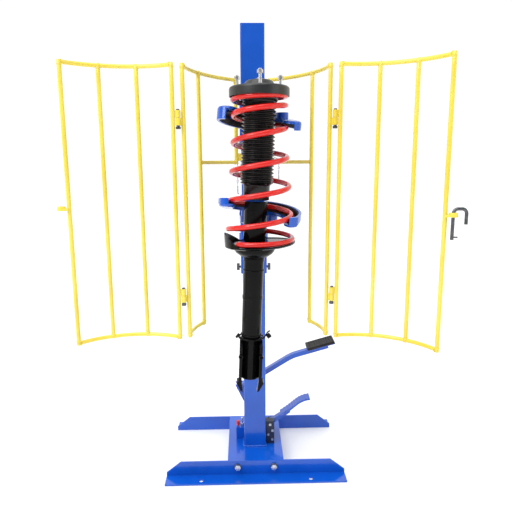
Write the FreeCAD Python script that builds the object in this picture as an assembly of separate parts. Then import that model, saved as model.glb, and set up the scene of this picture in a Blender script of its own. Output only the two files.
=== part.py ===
import FreeCAD, Part
import math
import os

# Foot-operated strut spring compressor: a floor stand with a lifting lower carriage, four jaws,
# a hinged safety cage and a strut clamped in place. Millimetres, +Z up, +Y to the back.
# The origin is on the floor, at the centre of the four floor-bolt holes.

V = FreeCAD.Vector
UP = V(0, 0, 1)
SIDES = (("left", -1), ("right", 1))

# ---- stand ----
FOOT_LENGTH = 560.0
FOOT_HEIGHT = 50.0
FOOT_FLANGE = 52.0
FOOT_WALL = 5.0
FOOT_FACE_Y = 145.0
FOOT_CHAMFER = V(45, 0, 35)
FLOOR_HOLE_X = 170.0
FLOOR_HOLE_Y = 175.0
FLOOR_HOLE_R = 7.0
FOOT_BOLT_X = 57.0
FOOT_BOLT_Z = 30.0
BASE_WIDTH = 176.0
BASE_HEIGHT = 50.0
BASE_WALL = 5.0
COLUMN_SIZE = 70.0
COLUMN_WALL = 4.0
COLUMN_Y = -26.5
COLUMN_TOP = 1360.0
MAST_SIZE = 60.0
MAST_WALL = 4.0
MAST_BOTTOM = 900.0
MAST_TOP = 1350.0
MAST_BOLT_Z = (1010.0, 1025.0)

# ---- bolts ----
BOLT_R = 5.0
BOLT_HOLE_R = 5.3
BOLT_FLATS = 17.0
BOLT_HEAD = 6.5
BOLT_NUT = 8.0
BOLT_END = 3.0
WASHER_R = 10.0
WASHER_THICK = 2.0

# ---- lower carriage ----
SLEEVE_SIZE = 80.0
SLEEVE_GAP = 0.5
SLEEVE_BOTTOM = 634.0
SLEEVE_TOP = 872.0
LIFT_TRAVEL = 100.0
LIFT_PIN_R = 10.0
LIFT_PIN_Z = 742.0
GUIDE_SCREW_Z = 648.0

# ---- upper bracket ----
BRACKET_SIZE = 78.0
BRACKET_BOTTOM = 1040.0
BRACKET_TOP = 1142.0

# ---- jaws ----
SLEEVE_FACE_Y = COLUMN_Y - SLEEVE_SIZE / 2
BRACKET_FACE_Y = COLUMN_Y - BRACKET_SIZE / 2
LUG_X = 42.0
LUG_REACH = 44.0
LUG_THICK = 10.0
ARM_THICK = 16.0
ARM_WIDTH = 34.0
ARM_GAP = 0.5
PIVOT_X = 27.0
PIVOT_MARGIN = 18.0
PIVOT_R = 7.0
PIVOT_FIT = 0.05
LOWER_ARM_Z = 808.0
UPPER_ARM_Z = 1084.0
JAW_OUTER_R = 108.0
JAW_WALL = 7.0
JAW_PLATE = 8.0
JAW_EASE = 7.0
JAW_CROWN = 11.0
JAW_LIP = {"upper_left": 34.0, "upper_right": 23.0, "lower_left": 22.0, "lower_right": 28.0}
JAW_TOE_ANGLE = {"upper": 42.0, "lower": 22.0}
JAW_SEAT_R = 93.5
PAD_THICK = 3.0
PAD_GAP = 1.5

# ---- strut that the jaws hold ----
STRUT_X = 12.0
STRUT_Y = -275.5
STRUT_LEAN = 2.4
STRUT_LEAN_Z = 1110.0
MOUNT_R = 76.0
MOUNT_RIM_Z = 1132.0
MOUNT_TOP_Z = 1156.0
STUD_CIRCLE_R = 64.0
SEAT_R = 93.0
SEAT_Z = 761.0
SEAT_TILT = -3.0
SEAT_WALL_HEIGHT = 34.0
SEAT_WALL_SLOPE = 39.0
STUD_R = 4.0
COIL_R_TOP = 66.5
COIL_R_BOTTOM = 85.0
WIRE_R = 6.75
COIL_START = -0.12
COIL_END = 6.42
COIL_BOTTOM_Z = 770.5
COIL_PITCH = 73.3
COIL_END_PITCH = 14.2
COIL_RAMP_IN = 0.84
COIL_RAMP_OUT = 2.28
COIL_RAMP_END = 6.2
COIL_STEPS = 16

# ---- safety cage ----
CAGE_X = 5.0
CAGE_TOP = 1204.0
CAGE_BOTTOM = 518.0
CAGE_STEP_Z = 972.0
BAR_R = 6.0
RAIL_R = 5.8
HINGE_X = 194.0
HINGE_Y = -305.0
HINGE_Z = (630.0, 1080.0)
HINGE_PIN_R = 4.0
KNUCKLE_R = 6.4
KNUCKLE_HEIGHT = 18.0
KNUCKLE_GAP = 0.3
DOOR_BAR_OFFSET = 13.0
DOOR_WIDTH = 270.0
DOOR_EYE = 288.0
DOOR_SAGITTA = 45.0
DOOR_BAR_SHARES = (0.0, 0.33, 0.68, 1.0)
DOOR_ANGLE = {"left": 8.5, "right": 28.0}
FIXED_BAR_IN = 12.0
FIXED_BAR_BACK = 10.0
SECOND_BAR = V(152, -185, 0)
INNER_BAR = V(50, -62, 0)
EYE_Z = {"left": 858.0, "right": 844.0}
EYE_HOLE_R = {"left": 7.0, "right": 4.05}
EYE_THICK = 6.0
EYE_R = 11.0
LATCH_R = 4.0
LATCH_BOTTOM = 791.0
LATCH_TOP = 863.0
LATCH_BEND = 11.0
LATCH_REACH = 31.0
LATCH_DROP = 36.0
STRAP_WALL = 4.0
STRAP_HEIGHT = 22.0

# ---- safety chains ----
LINK_LENGTH = 9.0
LINK_WIDTH = 6.0
LINK_WIRE = 0.9
PEG_R = 1.1
PEG_REACH = 9.0
LEFT_CHAIN = (V(-47, -50, 988.8), V(-47, -50, 900))
RIGHT_CHAIN = (
    V(47, -93, 1077.0), V(48, -92, 1040), V(52, -88, 1006), V(58, -84, 988),
    V(66, -79, 982), V(72, -72, 981), V(76, -67, 970), V(76, -67, 945),
)

# ---- pump and pedals ----
PUMP_RIGHT = 64.0
PUMP_FRONT_Y = -46.0
PUMP_STEP_Y = -24.0
PUMP_TOP = 130.0
PUMP_STEP_TOP = 98.0
PUMP_BACK_TOP = 88.0
PLUNGER_X = 10.0
PLUNGER_Y = 36.0
PLUNGER_R = 9.0
PLUNGER_GAP = 0.8
LEVER_PIVOT = V(-48, 0, 216)
LEVER_Y = (26.0, 46.0)
LEVER_THICK = 15.5
LEVER_PIN_R = 6.0
RELEASE_PIN_R = 4.0
RELEASE_PIN_Y = (-38.0, 8.0)
LEVER_RUN = (V(-48, 0, 216), V(116, 0, 318.7), V(132, 0, 326.5), V(144, 0, 330.5), V(250, 0, 360.5))
PAD_Y = (7.0, 65.0)
TREAD_FROM_END = (-72.0, 24.0)
TREAD_THICK = 4.0
TREAD_PAD = 7.0
TREAD_RIBS = 11
RELEASE_PIVOT = V(54, 0, 112)
RELEASE_RUN = (
    V(54, 0, 112), V(92, 0, 137), V(116, 0, 153.5), V(134, 0, 168.5),
    V(150, 0, 180.5), V(166, 0, 188), V(184, 0, 191.5),
)
RELEASE_ARM_Y = (-22.0, -2.0)
RELEASE_ARM_THICK = 13.0
RELEASE_Y = (-28.0, 12.0)
RELEASE_THICK = 5.0
RELEASE_STEPS = 14
RELEASE_RIBS = 10
VALVE_X = (-62.0, -35.5)
VALVE_Y = (-14.0, 16.0)
VALVE_TOP = 91.0
KNOB_X = -56.0
FITTING_X = -42.0
CYLINDER_R = 26.0
CYLINDER_TOP = 560.0
ROD_R = 16.0
FIT = 0.05


def save(name, *solids):
    """Writes one sub-part, as one solid or a group of separate solids."""
    shape = solids[0] if len(solids) == 1 else Part.makeCompound(list(solids))
    shape.exportStep(f"parts/{name}.step")


def block(low, high):
    size = high - low
    return Part.makeBox(size.x, size.y, size.z, low)


def rounded_block(low, high, radius):
    """A block with its four upright edges rounded."""
    body = block(low, high)
    return body.makeFillet(radius, [edge for edge in body.Edges if abs(edge.tangentAt(0).z) > 0.9])


def rod(start, end, radius):
    return Part.makeCylinder(radius, (end - start).Length, start, end - start)


def pipe(start, end, outer, inner):
    return rod(start, end, outer).cut(rod(start, end, inner))


def fused(first, *others):
    return first.multiFuse(list(others)).removeSplitter()


def square_tube(size, wall, y, bottom, top):
    half = size / 2
    inner = half - wall
    outside = rounded_block(V(-half, y - half, bottom), V(half, y + half, top), wall)
    return outside.cut(block(V(-inner, y - inner, bottom), V(inner, y + inner, top)))


def hexagon(centre, axis, flats, height):
    """A hexagonal prism, such as a bolt head or a nut, from centre along axis."""
    corner_r = flats / math.sqrt(3)
    corners = [math.radians(60 * k) for k in range(7)]
    outline = Part.makePolygon([V(corner_r * math.cos(a), corner_r * math.sin(a), 0) for a in corners])
    prism = Part.Face(outline).extrude(V(0, 0, height))
    prism.Placement = FreeCAD.Placement(centre, FreeCAD.Rotation(UP, axis))
    return prism


def turned(points):
    """A solid of revolution about Z from (radius, height) points."""
    outline = [V(r, 0, z) for r, z in points]
    return Part.Face(Part.makePolygon(outline + outline[:1])).revolve(V(0, 0, 0), UP, 360)


def flat_outline(points, y0, y1):
    """A plate whose outline lies in the XZ plane, from y0 to y1."""
    outline = [V(p[0], y0, p[1]) for p in points]
    return Part.Face(Part.makePolygon(outline + outline[:1])).extrude(V(0, y1 - y0, 0))


def round_bar(wire, radius):
    """A round bar of one radius along a wire."""
    start = wire.Edges[0]
    origin = start.valueAt(start.FirstParameter)
    heading = start.tangentAt(start.FirstParameter)
    circle = Part.Wire(Part.makeCircle(radius, origin, heading))
    return wire.makePipeShell([circle], True, True)


# ---------------------------------------------------------------- stand


def foot(side):
    """An angle iron with cut corners: a standing flange bolted to the base, a flat one bolted down."""
    half = FOOT_LENGTH / 2
    face = FOOT_FACE_Y
    reach = face + FOOT_FLANGE - FOOT_WALL
    outline = [
        (-half, 0),
        (half, 0),
        (half, FOOT_HEIGHT - FOOT_CHAMFER.z),
        (half - FOOT_CHAMFER.x, FOOT_HEIGHT),
        (FOOT_CHAMFER.x - half, FOOT_HEIGHT),
        (-half, FOOT_HEIGHT - FOOT_CHAMFER.z),
    ]
    standing = flat_outline(outline, face - FOOT_WALL, face)
    lying = block(V(-half, face - FOOT_WALL, 0), V(half, reach, FOOT_WALL))
    body = fused(standing, lying)
    for x in (-FLOOR_HOLE_X, FLOOR_HOLE_X):
        body = body.cut(rod(V(x, FLOOR_HOLE_Y, -1), V(x, FLOOR_HOLE_Y, FOOT_WALL + 1), FLOOR_HOLE_R))
    for x in (-FOOT_BOLT_X, FOOT_BOLT_X):
        body = body.cut(rod(V(x, 0, FOOT_BOLT_Z), V(x, face + 1, FOOT_BOLT_Z), BOLT_HOLE_R))
    if side < 0:
        body.rotate(V(0, 0, 0), UP, 180)
    return body


def bolt_set(face, back, direction):
    """A hex bolt with its washer, from the outer face to the back face, and a nut behind."""
    step = direction
    head_seat = face + step * WASHER_THICK
    end = back - step * (BOLT_NUT + BOLT_END)
    bolt = fused(rod(end, head_seat, BOLT_R), hexagon(head_seat, step, BOLT_FLATS, BOLT_HEAD))
    washer = pipe(face, head_seat, WASHER_R, BOLT_R + FIT)
    nut = hexagon(back, step * -1, BOLT_FLATS, BOLT_NUT)
    nut = nut.cut(rod(back + step, end - step, BOLT_R + FIT))
    return [bolt, washer, nut]


def foot_bolts():
    solids = []
    for side in (-1, 1):
        for x in (-FOOT_BOLT_X, FOOT_BOLT_X):
            face = V(x, side * FOOT_FACE_Y, FOOT_BOLT_Z)
            back = V(x, side * (FOOT_FACE_Y - FOOT_WALL - BASE_WALL), FOOT_BOLT_Z)
            solids += bolt_set(face, back, V(0, side, 0))
    return solids


def base_frame():
    """A folded tray, open below, that joins the feet and carries the column."""
    half = BASE_WIDTH / 2
    depth = FOOT_FACE_Y - FOOT_WALL
    body = block(V(-half, -depth, 0), V(half, depth, BASE_HEIGHT))
    body = body.cut(
        block(
            V(BASE_WALL - half, BASE_WALL - depth, -1),
            V(half - BASE_WALL, depth - BASE_WALL, BASE_HEIGHT - BASE_WALL),
        )
    )
    for x in (-FOOT_BOLT_X, FOOT_BOLT_X):
        body = body.cut(rod(V(x, -depth - 1, FOOT_BOLT_Z), V(x, depth + 1, FOOT_BOLT_Z), BOLT_HOLE_R))
    return body


def column():
    """The capped square tube, with slots for the lift pin and holes for the mast bolts."""
    body = square_tube(COLUMN_SIZE, COLUMN_WALL, COLUMN_Y, BASE_HEIGHT, COLUMN_TOP - COLUMN_WALL)
    half = COLUMN_SIZE / 2
    low_corner = V(-half, COLUMN_Y - half, COLUMN_TOP - COLUMN_WALL)
    cap = rounded_block(low_corner, V(half, COLUMN_Y + half, COLUMN_TOP), COLUMN_WALL)
    slot_r = LIFT_PIN_R + 1
    low = V(-COLUMN_SIZE, COLUMN_Y, LIFT_PIN_Z)
    high = low + V(0, 0, LIFT_TRAVEL)
    across = V(2 * COLUMN_SIZE, 0, 0)
    slot = fused(
        rod(low, low + across, slot_r),
        rod(high, high + across, slot_r),
        block(low - V(0, slot_r, 0), high + across + V(0, slot_r, 0)),
    )
    return fused(body, cap).cut(slot).cut(mast_bolt_holes())


def mast_bolt_holes():
    """Crossed holes through the column and the mast, one along Y and one along X."""
    low, high = (V(0, COLUMN_Y, z) for z in MAST_BOLT_Z)
    along_y = rod(low - V(0, COLUMN_SIZE, 0), low + V(0, COLUMN_SIZE, 0), BOLT_HOLE_R)
    along_x = rod(high - V(COLUMN_SIZE, 0, 0), high + V(COLUMN_SIZE, 0, 0), BOLT_HOLE_R)
    return fused(along_y, along_x)


def mast():
    """The inner tube that stiffens the upper half of the column, where the bracket pulls on it."""
    body = square_tube(MAST_SIZE, MAST_WALL, COLUMN_Y, MAST_BOTTOM, MAST_TOP)
    return body.cut(mast_bolt_holes())


def mast_bolts():
    """Two crossed through bolts that hold the inner mast in the column."""
    solids = []
    for z, direction in zip(MAST_BOLT_Z, (V(0, 1, 0), V(1, 0, 0))):
        middle = V(0, COLUMN_Y, z)
        reach = direction * (COLUMN_SIZE / 2)
        solids += bolt_set(middle + reach, middle - reach, direction)
    return solids


# ---------------------------------------------------------------- ram and pump


def ram_cylinder():
    """The long-stroke cylinder that stands inside the column, with its gland."""
    foot_height = 20.0
    bore = ROD_R + 3
    axis = V(0, COLUMN_Y, 0)
    bottom = axis + V(0, 0, BASE_HEIGHT)
    top = axis + V(0, 0, CYLINDER_TOP)
    body = rod(bottom, top, CYLINDER_R)
    body = body.cut(rod(bottom + V(0, 0, foot_height), top - V(0, 0, foot_height), bore))
    return body.cut(rod(top - V(0, 0, 2 * foot_height), top + UP, ROD_R + FIT))


def ram_rod():
    bottom = V(0, COLUMN_Y, CYLINDER_TOP - 3 * LIFT_TRAVEL)
    return rod(bottom, V(0, COLUMN_Y, LIFT_PIN_Z - LIFT_PIN_R), ROD_R)


def pump_block():
    """The cast pump body: a tall front beside the column, and a low part behind that guides the plunger."""
    column_side = COLUMN_SIZE / 2 + 2
    column_back = COLUMN_Y + COLUMN_SIZE / 2 + 6
    back_y = 60.0
    front = block(V(column_side, PUMP_FRONT_Y, BASE_HEIGHT), V(PUMP_RIGHT, PUMP_STEP_Y, PUMP_TOP))
    middle = block(V(column_side, PUMP_STEP_Y, BASE_HEIGHT), V(PUMP_RIGHT, column_back, PUMP_STEP_TOP))
    behind = block(V(-30, column_back, BASE_HEIGHT), V(PUMP_RIGHT, back_y, PUMP_BACK_TOP))
    ear_y = RELEASE_ARM_Y[1] + 2
    ear_top = RELEASE_PIVOT.z + 8
    ear = block(V(RELEASE_PIVOT.x - 8, ear_y, PUMP_STEP_TOP), V(PUMP_RIGHT, ear_y + 5, ear_top))
    body = fused(front, middle, behind, ear)
    foot = V(PLUNGER_X, PLUNGER_Y, BASE_HEIGHT + 8)
    body = body.cut(rod(foot, V(PLUNGER_X, PLUNGER_Y, PUMP_TOP), PLUNGER_R + FIT))
    low, high = (RELEASE_PIVOT + V(0, y, 0) for y in RELEASE_PIN_Y)
    return body.cut(rod(low - V(0, 1, 0), high + V(0, 1, 0), RELEASE_PIN_R + FIT))


def pump_bolts():
    """Socket screws on the front face of the pump body."""
    solids = []
    for x, z in ((50, 119), (58, 98), (44, 84), (57, 66)):
        head = rod(V(x, PUMP_FRONT_Y, z), V(x, PUMP_FRONT_Y - 5, z), 4.2)
        socket = hexagon(V(x, PUMP_FRONT_Y - 5, z), V(0, 1, 0), 4, 3)
        solids.append(head.cut(socket))
    return solids


def pump_plunger():
    """The plunger, with a ball crown just under the lever's sloping underside."""
    crown_r = PLUNGER_R + 2
    slope = (LEVER_RUN[1] - LEVER_RUN[0]).getAngle(V(1, 0, 0))
    drop = (LEVER_THICK / 2 + crown_r + PLUNGER_GAP) / math.cos(slope)
    crown_z = lever_height(PLUNGER_X) - drop
    shaft = rod(V(PLUNGER_X, PLUNGER_Y, BASE_HEIGHT + 30), V(PLUNGER_X, PLUNGER_Y, crown_z), PLUNGER_R)
    return fused(shaft, Part.makeSphere(crown_r, V(PLUNGER_X, PLUNGER_Y, crown_z)))


def lever_height(x):
    """Height of the lever's middle line on its first straight run."""
    start, end = LEVER_RUN[0], LEVER_RUN[1]
    return start.z + (end.z - start.z) * (x - start.x) / (end.x - start.x)


def valve_block():
    low = V(VALVE_X[0], VALVE_Y[0], BASE_HEIGHT)
    high = V(VALVE_X[1], VALVE_Y[1], VALVE_TOP)
    return block(low, high).cut(rod(V(KNOB_X, 0, VALVE_TOP - 12), V(KNOB_X, 0, VALVE_TOP + 1), 3 + FIT))


def valve_fitting():
    """A hexagonal fitting and a grease nipple on top of the valve block."""
    seat = V(FITTING_X, 0, VALVE_TOP)
    nut = hexagon(seat, UP, 9, 10)
    stem = rod(seat + V(0, 0, 10), seat + V(0, 0, 26), 2.6)
    ball = Part.makeSphere(3.6, seat + V(0, 0, 28))
    return fused(nut, stem, ball)


def valve_knob():
    """The red star knob and its spindle."""
    seat = V(KNOB_X, 0, VALVE_TOP)
    spindle = rod(seat - V(0, 0, 10), seat + V(0, 0, 6), 3)
    head = rod(seat + V(0, 0, 5), seat + V(0, 0, 18), 6)
    for k in range(6):
        angle = math.radians(60 * k)
        side = seat + V(7 * math.cos(angle), 7 * math.sin(angle), 0)
        head = head.cut(rod(side + V(0, 0, 4), side + V(0, 0, 19), 1.8))
    return fused(spindle, head)


def lever_bracket():
    """Two triangular plates welded behind the column's left side that hold the lever's pin."""
    outline = [(-64, 229), (-28, 232), (-28, 166), (-37, 172)]
    plates = []
    for y in (LEVER_Y[0] - 6, LEVER_Y[1] + 1):
        plate = flat_outline(outline, y, y + 5)
        pin_hole = rod(LEVER_PIVOT + V(0, y - 1, 0), LEVER_PIVOT + V(0, y + 6, 0), LEVER_PIN_R + FIT)
        plates.append(plate.cut(pin_hole))
    web = block(V(-33, COLUMN_Y + COLUMN_SIZE / 2, 176), V(-28, LEVER_Y[1] + 6, 198))
    return fused(plates[0], plates[1], web)


def pedal_pins():
    """The headed pin of the pump lever and the plain one of the release pedal."""
    start = LEVER_PIVOT + V(0, LEVER_Y[0] - 6, 0)
    lever = rod(start, LEVER_PIVOT + V(0, LEVER_Y[1] + 9, 0), LEVER_PIN_R)
    head = rod(start - V(0, 3, 0), start, LEVER_PIN_R + 2)
    low, high = (RELEASE_PIVOT + V(0, y, 0) for y in RELEASE_PIN_Y)
    return fused(lever, head), rod(low, high, RELEASE_PIN_R)


def strip(points, thick, y0, y1):
    """A bent flat bar of even thickness along points in the XZ plane."""
    top, bottom = [], []
    for i, p in enumerate(points):
        before = points[max(i - 1, 0)]
        after = points[min(i + 1, len(points) - 1)]
        along = after - before
        along.normalize()
        up = V(-along.z, 0, along.x)
        top.append((p.x + up.x * thick / 2, p.z + up.z * thick / 2))
        bottom.append((p.x - up.x * thick / 2, p.z - up.z * thick / 2))
    return flat_outline(top + bottom[::-1], y0, y1)


def pump_lever():
    """The long foot lever: pivoted left of the column, bent flat where the pad sits."""
    y0, y1 = LEVER_Y
    bar = strip(LEVER_RUN, LEVER_THICK, y0, y1)
    eye = rod(LEVER_PIVOT + V(0, y0, 0), LEVER_PIVOT + V(0, y1, 0), 11)
    tread = strip(over_lever_end(LEVER_THICK / 2 + TREAD_THICK / 2), TREAD_THICK, PAD_Y[0], PAD_Y[1])
    body = fused(bar, eye, tread)
    return body.cut(rod(LEVER_PIVOT + V(0, y0 - 1, 0), LEVER_PIVOT + V(0, y1 + 1, 0), LEVER_PIN_R + FIT))


def over_lever_end(height):
    """The line of the tread: along the lever's last straight run, moved up square to it."""
    last, end = LEVER_RUN[-2], LEVER_RUN[-1]
    along = end - last
    along.normalize()
    up = V(-along.z, 0, along.x) * height
    return [end + along * reach + up for reach in TREAD_FROM_END]


def lever_pad():
    """The rubber pad on the lever's tread, with cross ribs on top."""
    base = LEVER_THICK / 2 + TREAD_THICK
    solids = [strip(over_lever_end(base + TREAD_PAD / 2), TREAD_PAD, PAD_Y[0] - 2, PAD_Y[1] + 2)]
    start, end = over_lever_end(base + TREAD_PAD + 0.5)
    along = end - start
    along.normalize()
    for k in range(TREAD_RIBS):
        rib_start = start + along * (5 + 8.5 * k)
        solids.append(strip((rib_start, rib_start + along * 4), 2, PAD_Y[0] + 2, PAD_Y[1] - 2))
    return fused(*solids)


def release_curve():
    """The release pedal's middle line: straight from the pivot, then arched under the sole."""
    curve = Part.BSplineCurve()
    curve.interpolate(list(RELEASE_RUN))
    return curve


def release_pedal():
    """A straight arm and a wider curved foot plate with cross ribs; it opens the release valve."""
    curve = release_curve()
    low, high = curve.FirstParameter, curve.LastParameter
    split = low + (high - low) * 0.26
    arm_y0, arm_y1 = RELEASE_ARM_Y
    arm = strip([RELEASE_RUN[0], RELEASE_RUN[1], RELEASE_RUN[2]], RELEASE_ARM_THICK, arm_y0, arm_y1)
    eye = rod(RELEASE_PIVOT + V(0, arm_y0, 0), RELEASE_PIVOT + V(0, arm_y1, 0), 9)
    points = [curve.value(split + (high - split) * k / RELEASE_STEPS) for k in range(RELEASE_STEPS + 1)]
    plate = strip([p + V(0, 0, 4) for p in points], RELEASE_THICK, *RELEASE_Y)
    solids = [arm, eye, plate]
    for k in range(RELEASE_RIBS):
        place = split + (high - split) * (0.14 + 0.82 * k / (RELEASE_RIBS - 1))
        along = curve.tangent(place)[0]
        up = V(-along.z, 0, along.x)
        seat = curve.value(place) + V(0, 0, 4) + up * (RELEASE_THICK / 2)
        solids.append(strip((seat, seat + along * 3.5), 3.6, RELEASE_Y[0] + 1, RELEASE_Y[1] - 1))
    body = fused(*solids)
    return body.cut(rod(RELEASE_PIVOT - V(0, 60, 0), RELEASE_PIVOT + V(0, 60, 0), RELEASE_PIN_R + FIT))


# ---------------------------------------------------------------- carriage, bracket and jaws


def lug_plates(face_y, arm_z):
    """Two plates in front of a sleeve, above and below the jaw arms."""
    plates = []
    for z in (arm_z - ARM_GAP - LUG_THICK, arm_z + ARM_THICK + ARM_GAP):
        plate = block(V(-LUG_X, face_y - LUG_REACH, z), V(LUG_X, face_y, z + LUG_THICK))
        for side in (-1, 1):
            x = side * PIVOT_X
            y = face_y - LUG_REACH + PIVOT_MARGIN
            plate = plate.cut(rod(V(x, y, z - 1), V(x, y, z + LUG_THICK + 1), PIVOT_R + PIVOT_FIT))
        plates.append(plate)
    return plates


def carriage_sleeve():
    """The sliding sleeve of the lower jaws, with its lugs and the holes of the lift pin."""
    wall = (SLEEVE_SIZE - COLUMN_SIZE) / 2 - SLEEVE_GAP
    body = square_tube(SLEEVE_SIZE, wall, COLUMN_Y, SLEEVE_BOTTOM, SLEEVE_TOP)
    body = fused(body, *lug_plates(SLEEVE_FACE_Y, LOWER_ARM_Z))
    across = V(SLEEVE_SIZE, 0, 0)
    pin = V(0, COLUMN_Y, LIFT_PIN_Z)
    body = body.cut(rod(pin - across, pin + across, LIFT_PIN_R + FIT))
    screw = V(0, COLUMN_Y, GUIDE_SCREW_Z)
    return body.cut(rod(screw - across, screw + across, 4 + FIT))


def lift_pin():
    """The cross pin that the ram pushes, with a head at each end."""
    half = SLEEVE_SIZE / 2
    pin = V(0, COLUMN_Y, LIFT_PIN_Z)
    solids = [rod(pin - V(half + 3, 0, 0), pin + V(half + 3, 0, 0), LIFT_PIN_R)]
    for side in (-1, 1):
        solids.append(rod(pin + V(side * half, 0, 0), pin + V(side * (half + 4), 0, 0), LIFT_PIN_R + 4))
    return fused(*solids)


def guide_screws():
    """A wing screw in each side of the sleeve."""
    solids = []
    for side in (-1, 1):
        start = V(side * (COLUMN_SIZE / 2 + SLEEVE_GAP), COLUMN_Y, GUIDE_SCREW_Z)
        seat = V(side * (SLEEVE_SIZE / 2 + 4), COLUMN_Y, GUIDE_SCREW_Z)
        end = seat + V(side * 3, 0, 0)
        shank = rod(start, end, 4)
        collar = rod(seat, end + V(side * 2, 0, 0), 6)
        wing_low = V(min(seat.x, seat.x + side * 9), COLUMN_Y - 2, GUIDE_SCREW_Z - 11)
        wing = block(wing_low, wing_low + V(9, 4, 22))
        solids.append(fused(shank, collar, wing))
    return solids


def upper_bracket():
    """The fixed sleeve of the upper jaws, round the column."""
    wall = (BRACKET_SIZE - COLUMN_SIZE) / 2 - 0.1
    body = square_tube(BRACKET_SIZE, wall, COLUMN_Y, BRACKET_BOTTOM, BRACKET_TOP)
    peg_start = V(LUG_X, RIGHT_CHAIN[0].y, UPPER_ARM_Z - ARM_GAP - LUG_THICK / 2)
    peg = rod(peg_start, peg_start + V(PEG_REACH, 0, 0), PEG_R)
    return fused(body, *lug_plates(BRACKET_FACE_Y, UPPER_ARM_Z), peg)


def pivot_pin(face_y, arm_z, side):
    """One jaw pivot: a shaft with a flat head above and a clip ring below."""
    x = side * PIVOT_X
    y = face_y - LUG_REACH + PIVOT_MARGIN
    top = arm_z + ARM_THICK + ARM_GAP + LUG_THICK
    bottom = arm_z - ARM_GAP - LUG_THICK
    shaft = rod(V(x, y, bottom - 4), V(x, y, top), PIVOT_R)
    head = rod(V(x, y, top), V(x, y, top + 4), PIVOT_R + 4)
    ring = pipe(V(x, y, bottom - 3), V(x, y, bottom - 1), PIVOT_R + 3, PIVOT_R)
    return fused(shaft, head, ring)


def coil_pitch(turn):
    """Rise per turn: full pitch in the middle, nearly flat at the two ends."""
    start = min(max(turn / COIL_RAMP_IN, 0), 1)
    end = min(max((COIL_RAMP_END - turn) / COIL_RAMP_OUT, 0), 1)
    rise = (COIL_PITCH - COIL_END_PITCH) * smooth(start) * smooth(end)
    return COIL_END_PITCH + rise


def smooth(t):
    return t * t * (3 - 2 * t)


def coil_point(turn):
    """A point on the spring's wire. Turn 0 is at the front; the wire climbs anticlockwise."""
    steps = 60
    height = COIL_BOTTOM_Z
    for k in range(steps):
        height += coil_pitch(turn * (k + 0.5) / steps) * turn / steps
    share = min(max(turn / 4.5, 0), 1)
    radius = COIL_R_BOTTOM + (COIL_R_TOP - COIL_R_BOTTOM) * smooth(share)
    angle = math.radians(360 * turn - 90)
    return V(STRUT_X + radius * math.cos(angle), STRUT_Y + radius * math.sin(angle), height)


def jaw_wedge(start, end, reach, z0, z1):
    """A fan between two directions in degrees, about the strut's axis."""
    steps = 6
    fan = [V(0, 0, z0)]
    for k in range(steps + 1):
        angle = math.radians(start + (end - start) * k / steps)
        fan.append(V(reach * math.cos(angle), reach * math.sin(angle), z0))
    return Part.Face(Part.makePolygon(fan + fan[:1])).extrude(V(0, 0, z1 - z0))


def jaw_sector(r_in, r_out, start, end, z0, z1):
    """Part of a flat ring between two directions."""
    ring = pipe(V(0, 0, z0), V(0, 0, z1), r_out, r_in)
    return ring.common(jaw_wedge(start, end, 2 * r_out, z0 - 1, z1 + 1))


def jaw_crescent(r_in, start, end, away, front, back, lip_end):
    """
    The crescent of a jaw: a plate with a rounded tip, and a lip round the outside and half of the tip.
    Front and back are the plate's two faces and lip_end is the lip's free edge, all as heights
    from the coil; away is -1 when the jaw lies under the coil.
    """
    section = [
        (r_in, front), (r_in, back), (JAW_OUTER_R - JAW_CROWN, back),
        (JAW_OUTER_R - 0.3 * JAW_CROWN, back - 0.3 * JAW_CROWN), (JAW_OUTER_R, back - JAW_CROWN),
        (JAW_OUTER_R, lip_end), (JAW_OUTER_R - JAW_WALL, lip_end), (JAW_OUTER_R - JAW_WALL, front),
    ]
    reach = 2 * JAW_OUTER_R
    low, high = sorted((away * lip_end, away * back))
    ring = turned([(r, away * z) for r, z in section])
    ring = ring.common(jaw_wedge(start, end, reach, low - 1, high + 1))
    tip_r = (JAW_OUTER_R - r_in) / 2
    middle_r = (JAW_OUTER_R + r_in) / 2
    angle = math.radians(end)
    tip = V(middle_r * math.cos(angle), middle_r * math.sin(angle), 0)
    disc_section = [
        (0, front), (0, back), (tip_r - JAW_EASE, back),
        (tip_r - 0.3 * JAW_EASE, back - 0.3 * JAW_EASE), (tip_r, back - JAW_EASE), (tip_r, front),
    ]
    disc = turned([(r, away * z) for r, z in disc_section])
    disc.translate(tip)
    tip_lip = pipe(tip + UP * away * lip_end, tip + UP * away * (back - JAW_EASE), tip_r, tip_r - JAW_WALL)
    outside = pipe(V(0, 0, low - 1), V(0, 0, high + 1), reach, middle_r + 5)
    beyond = jaw_wedge(end, end + math.copysign(40, end - start), reach, low - 1, high + 1)
    return fused(ring, disc, tip_lip.common(outside).common(beyond))


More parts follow.
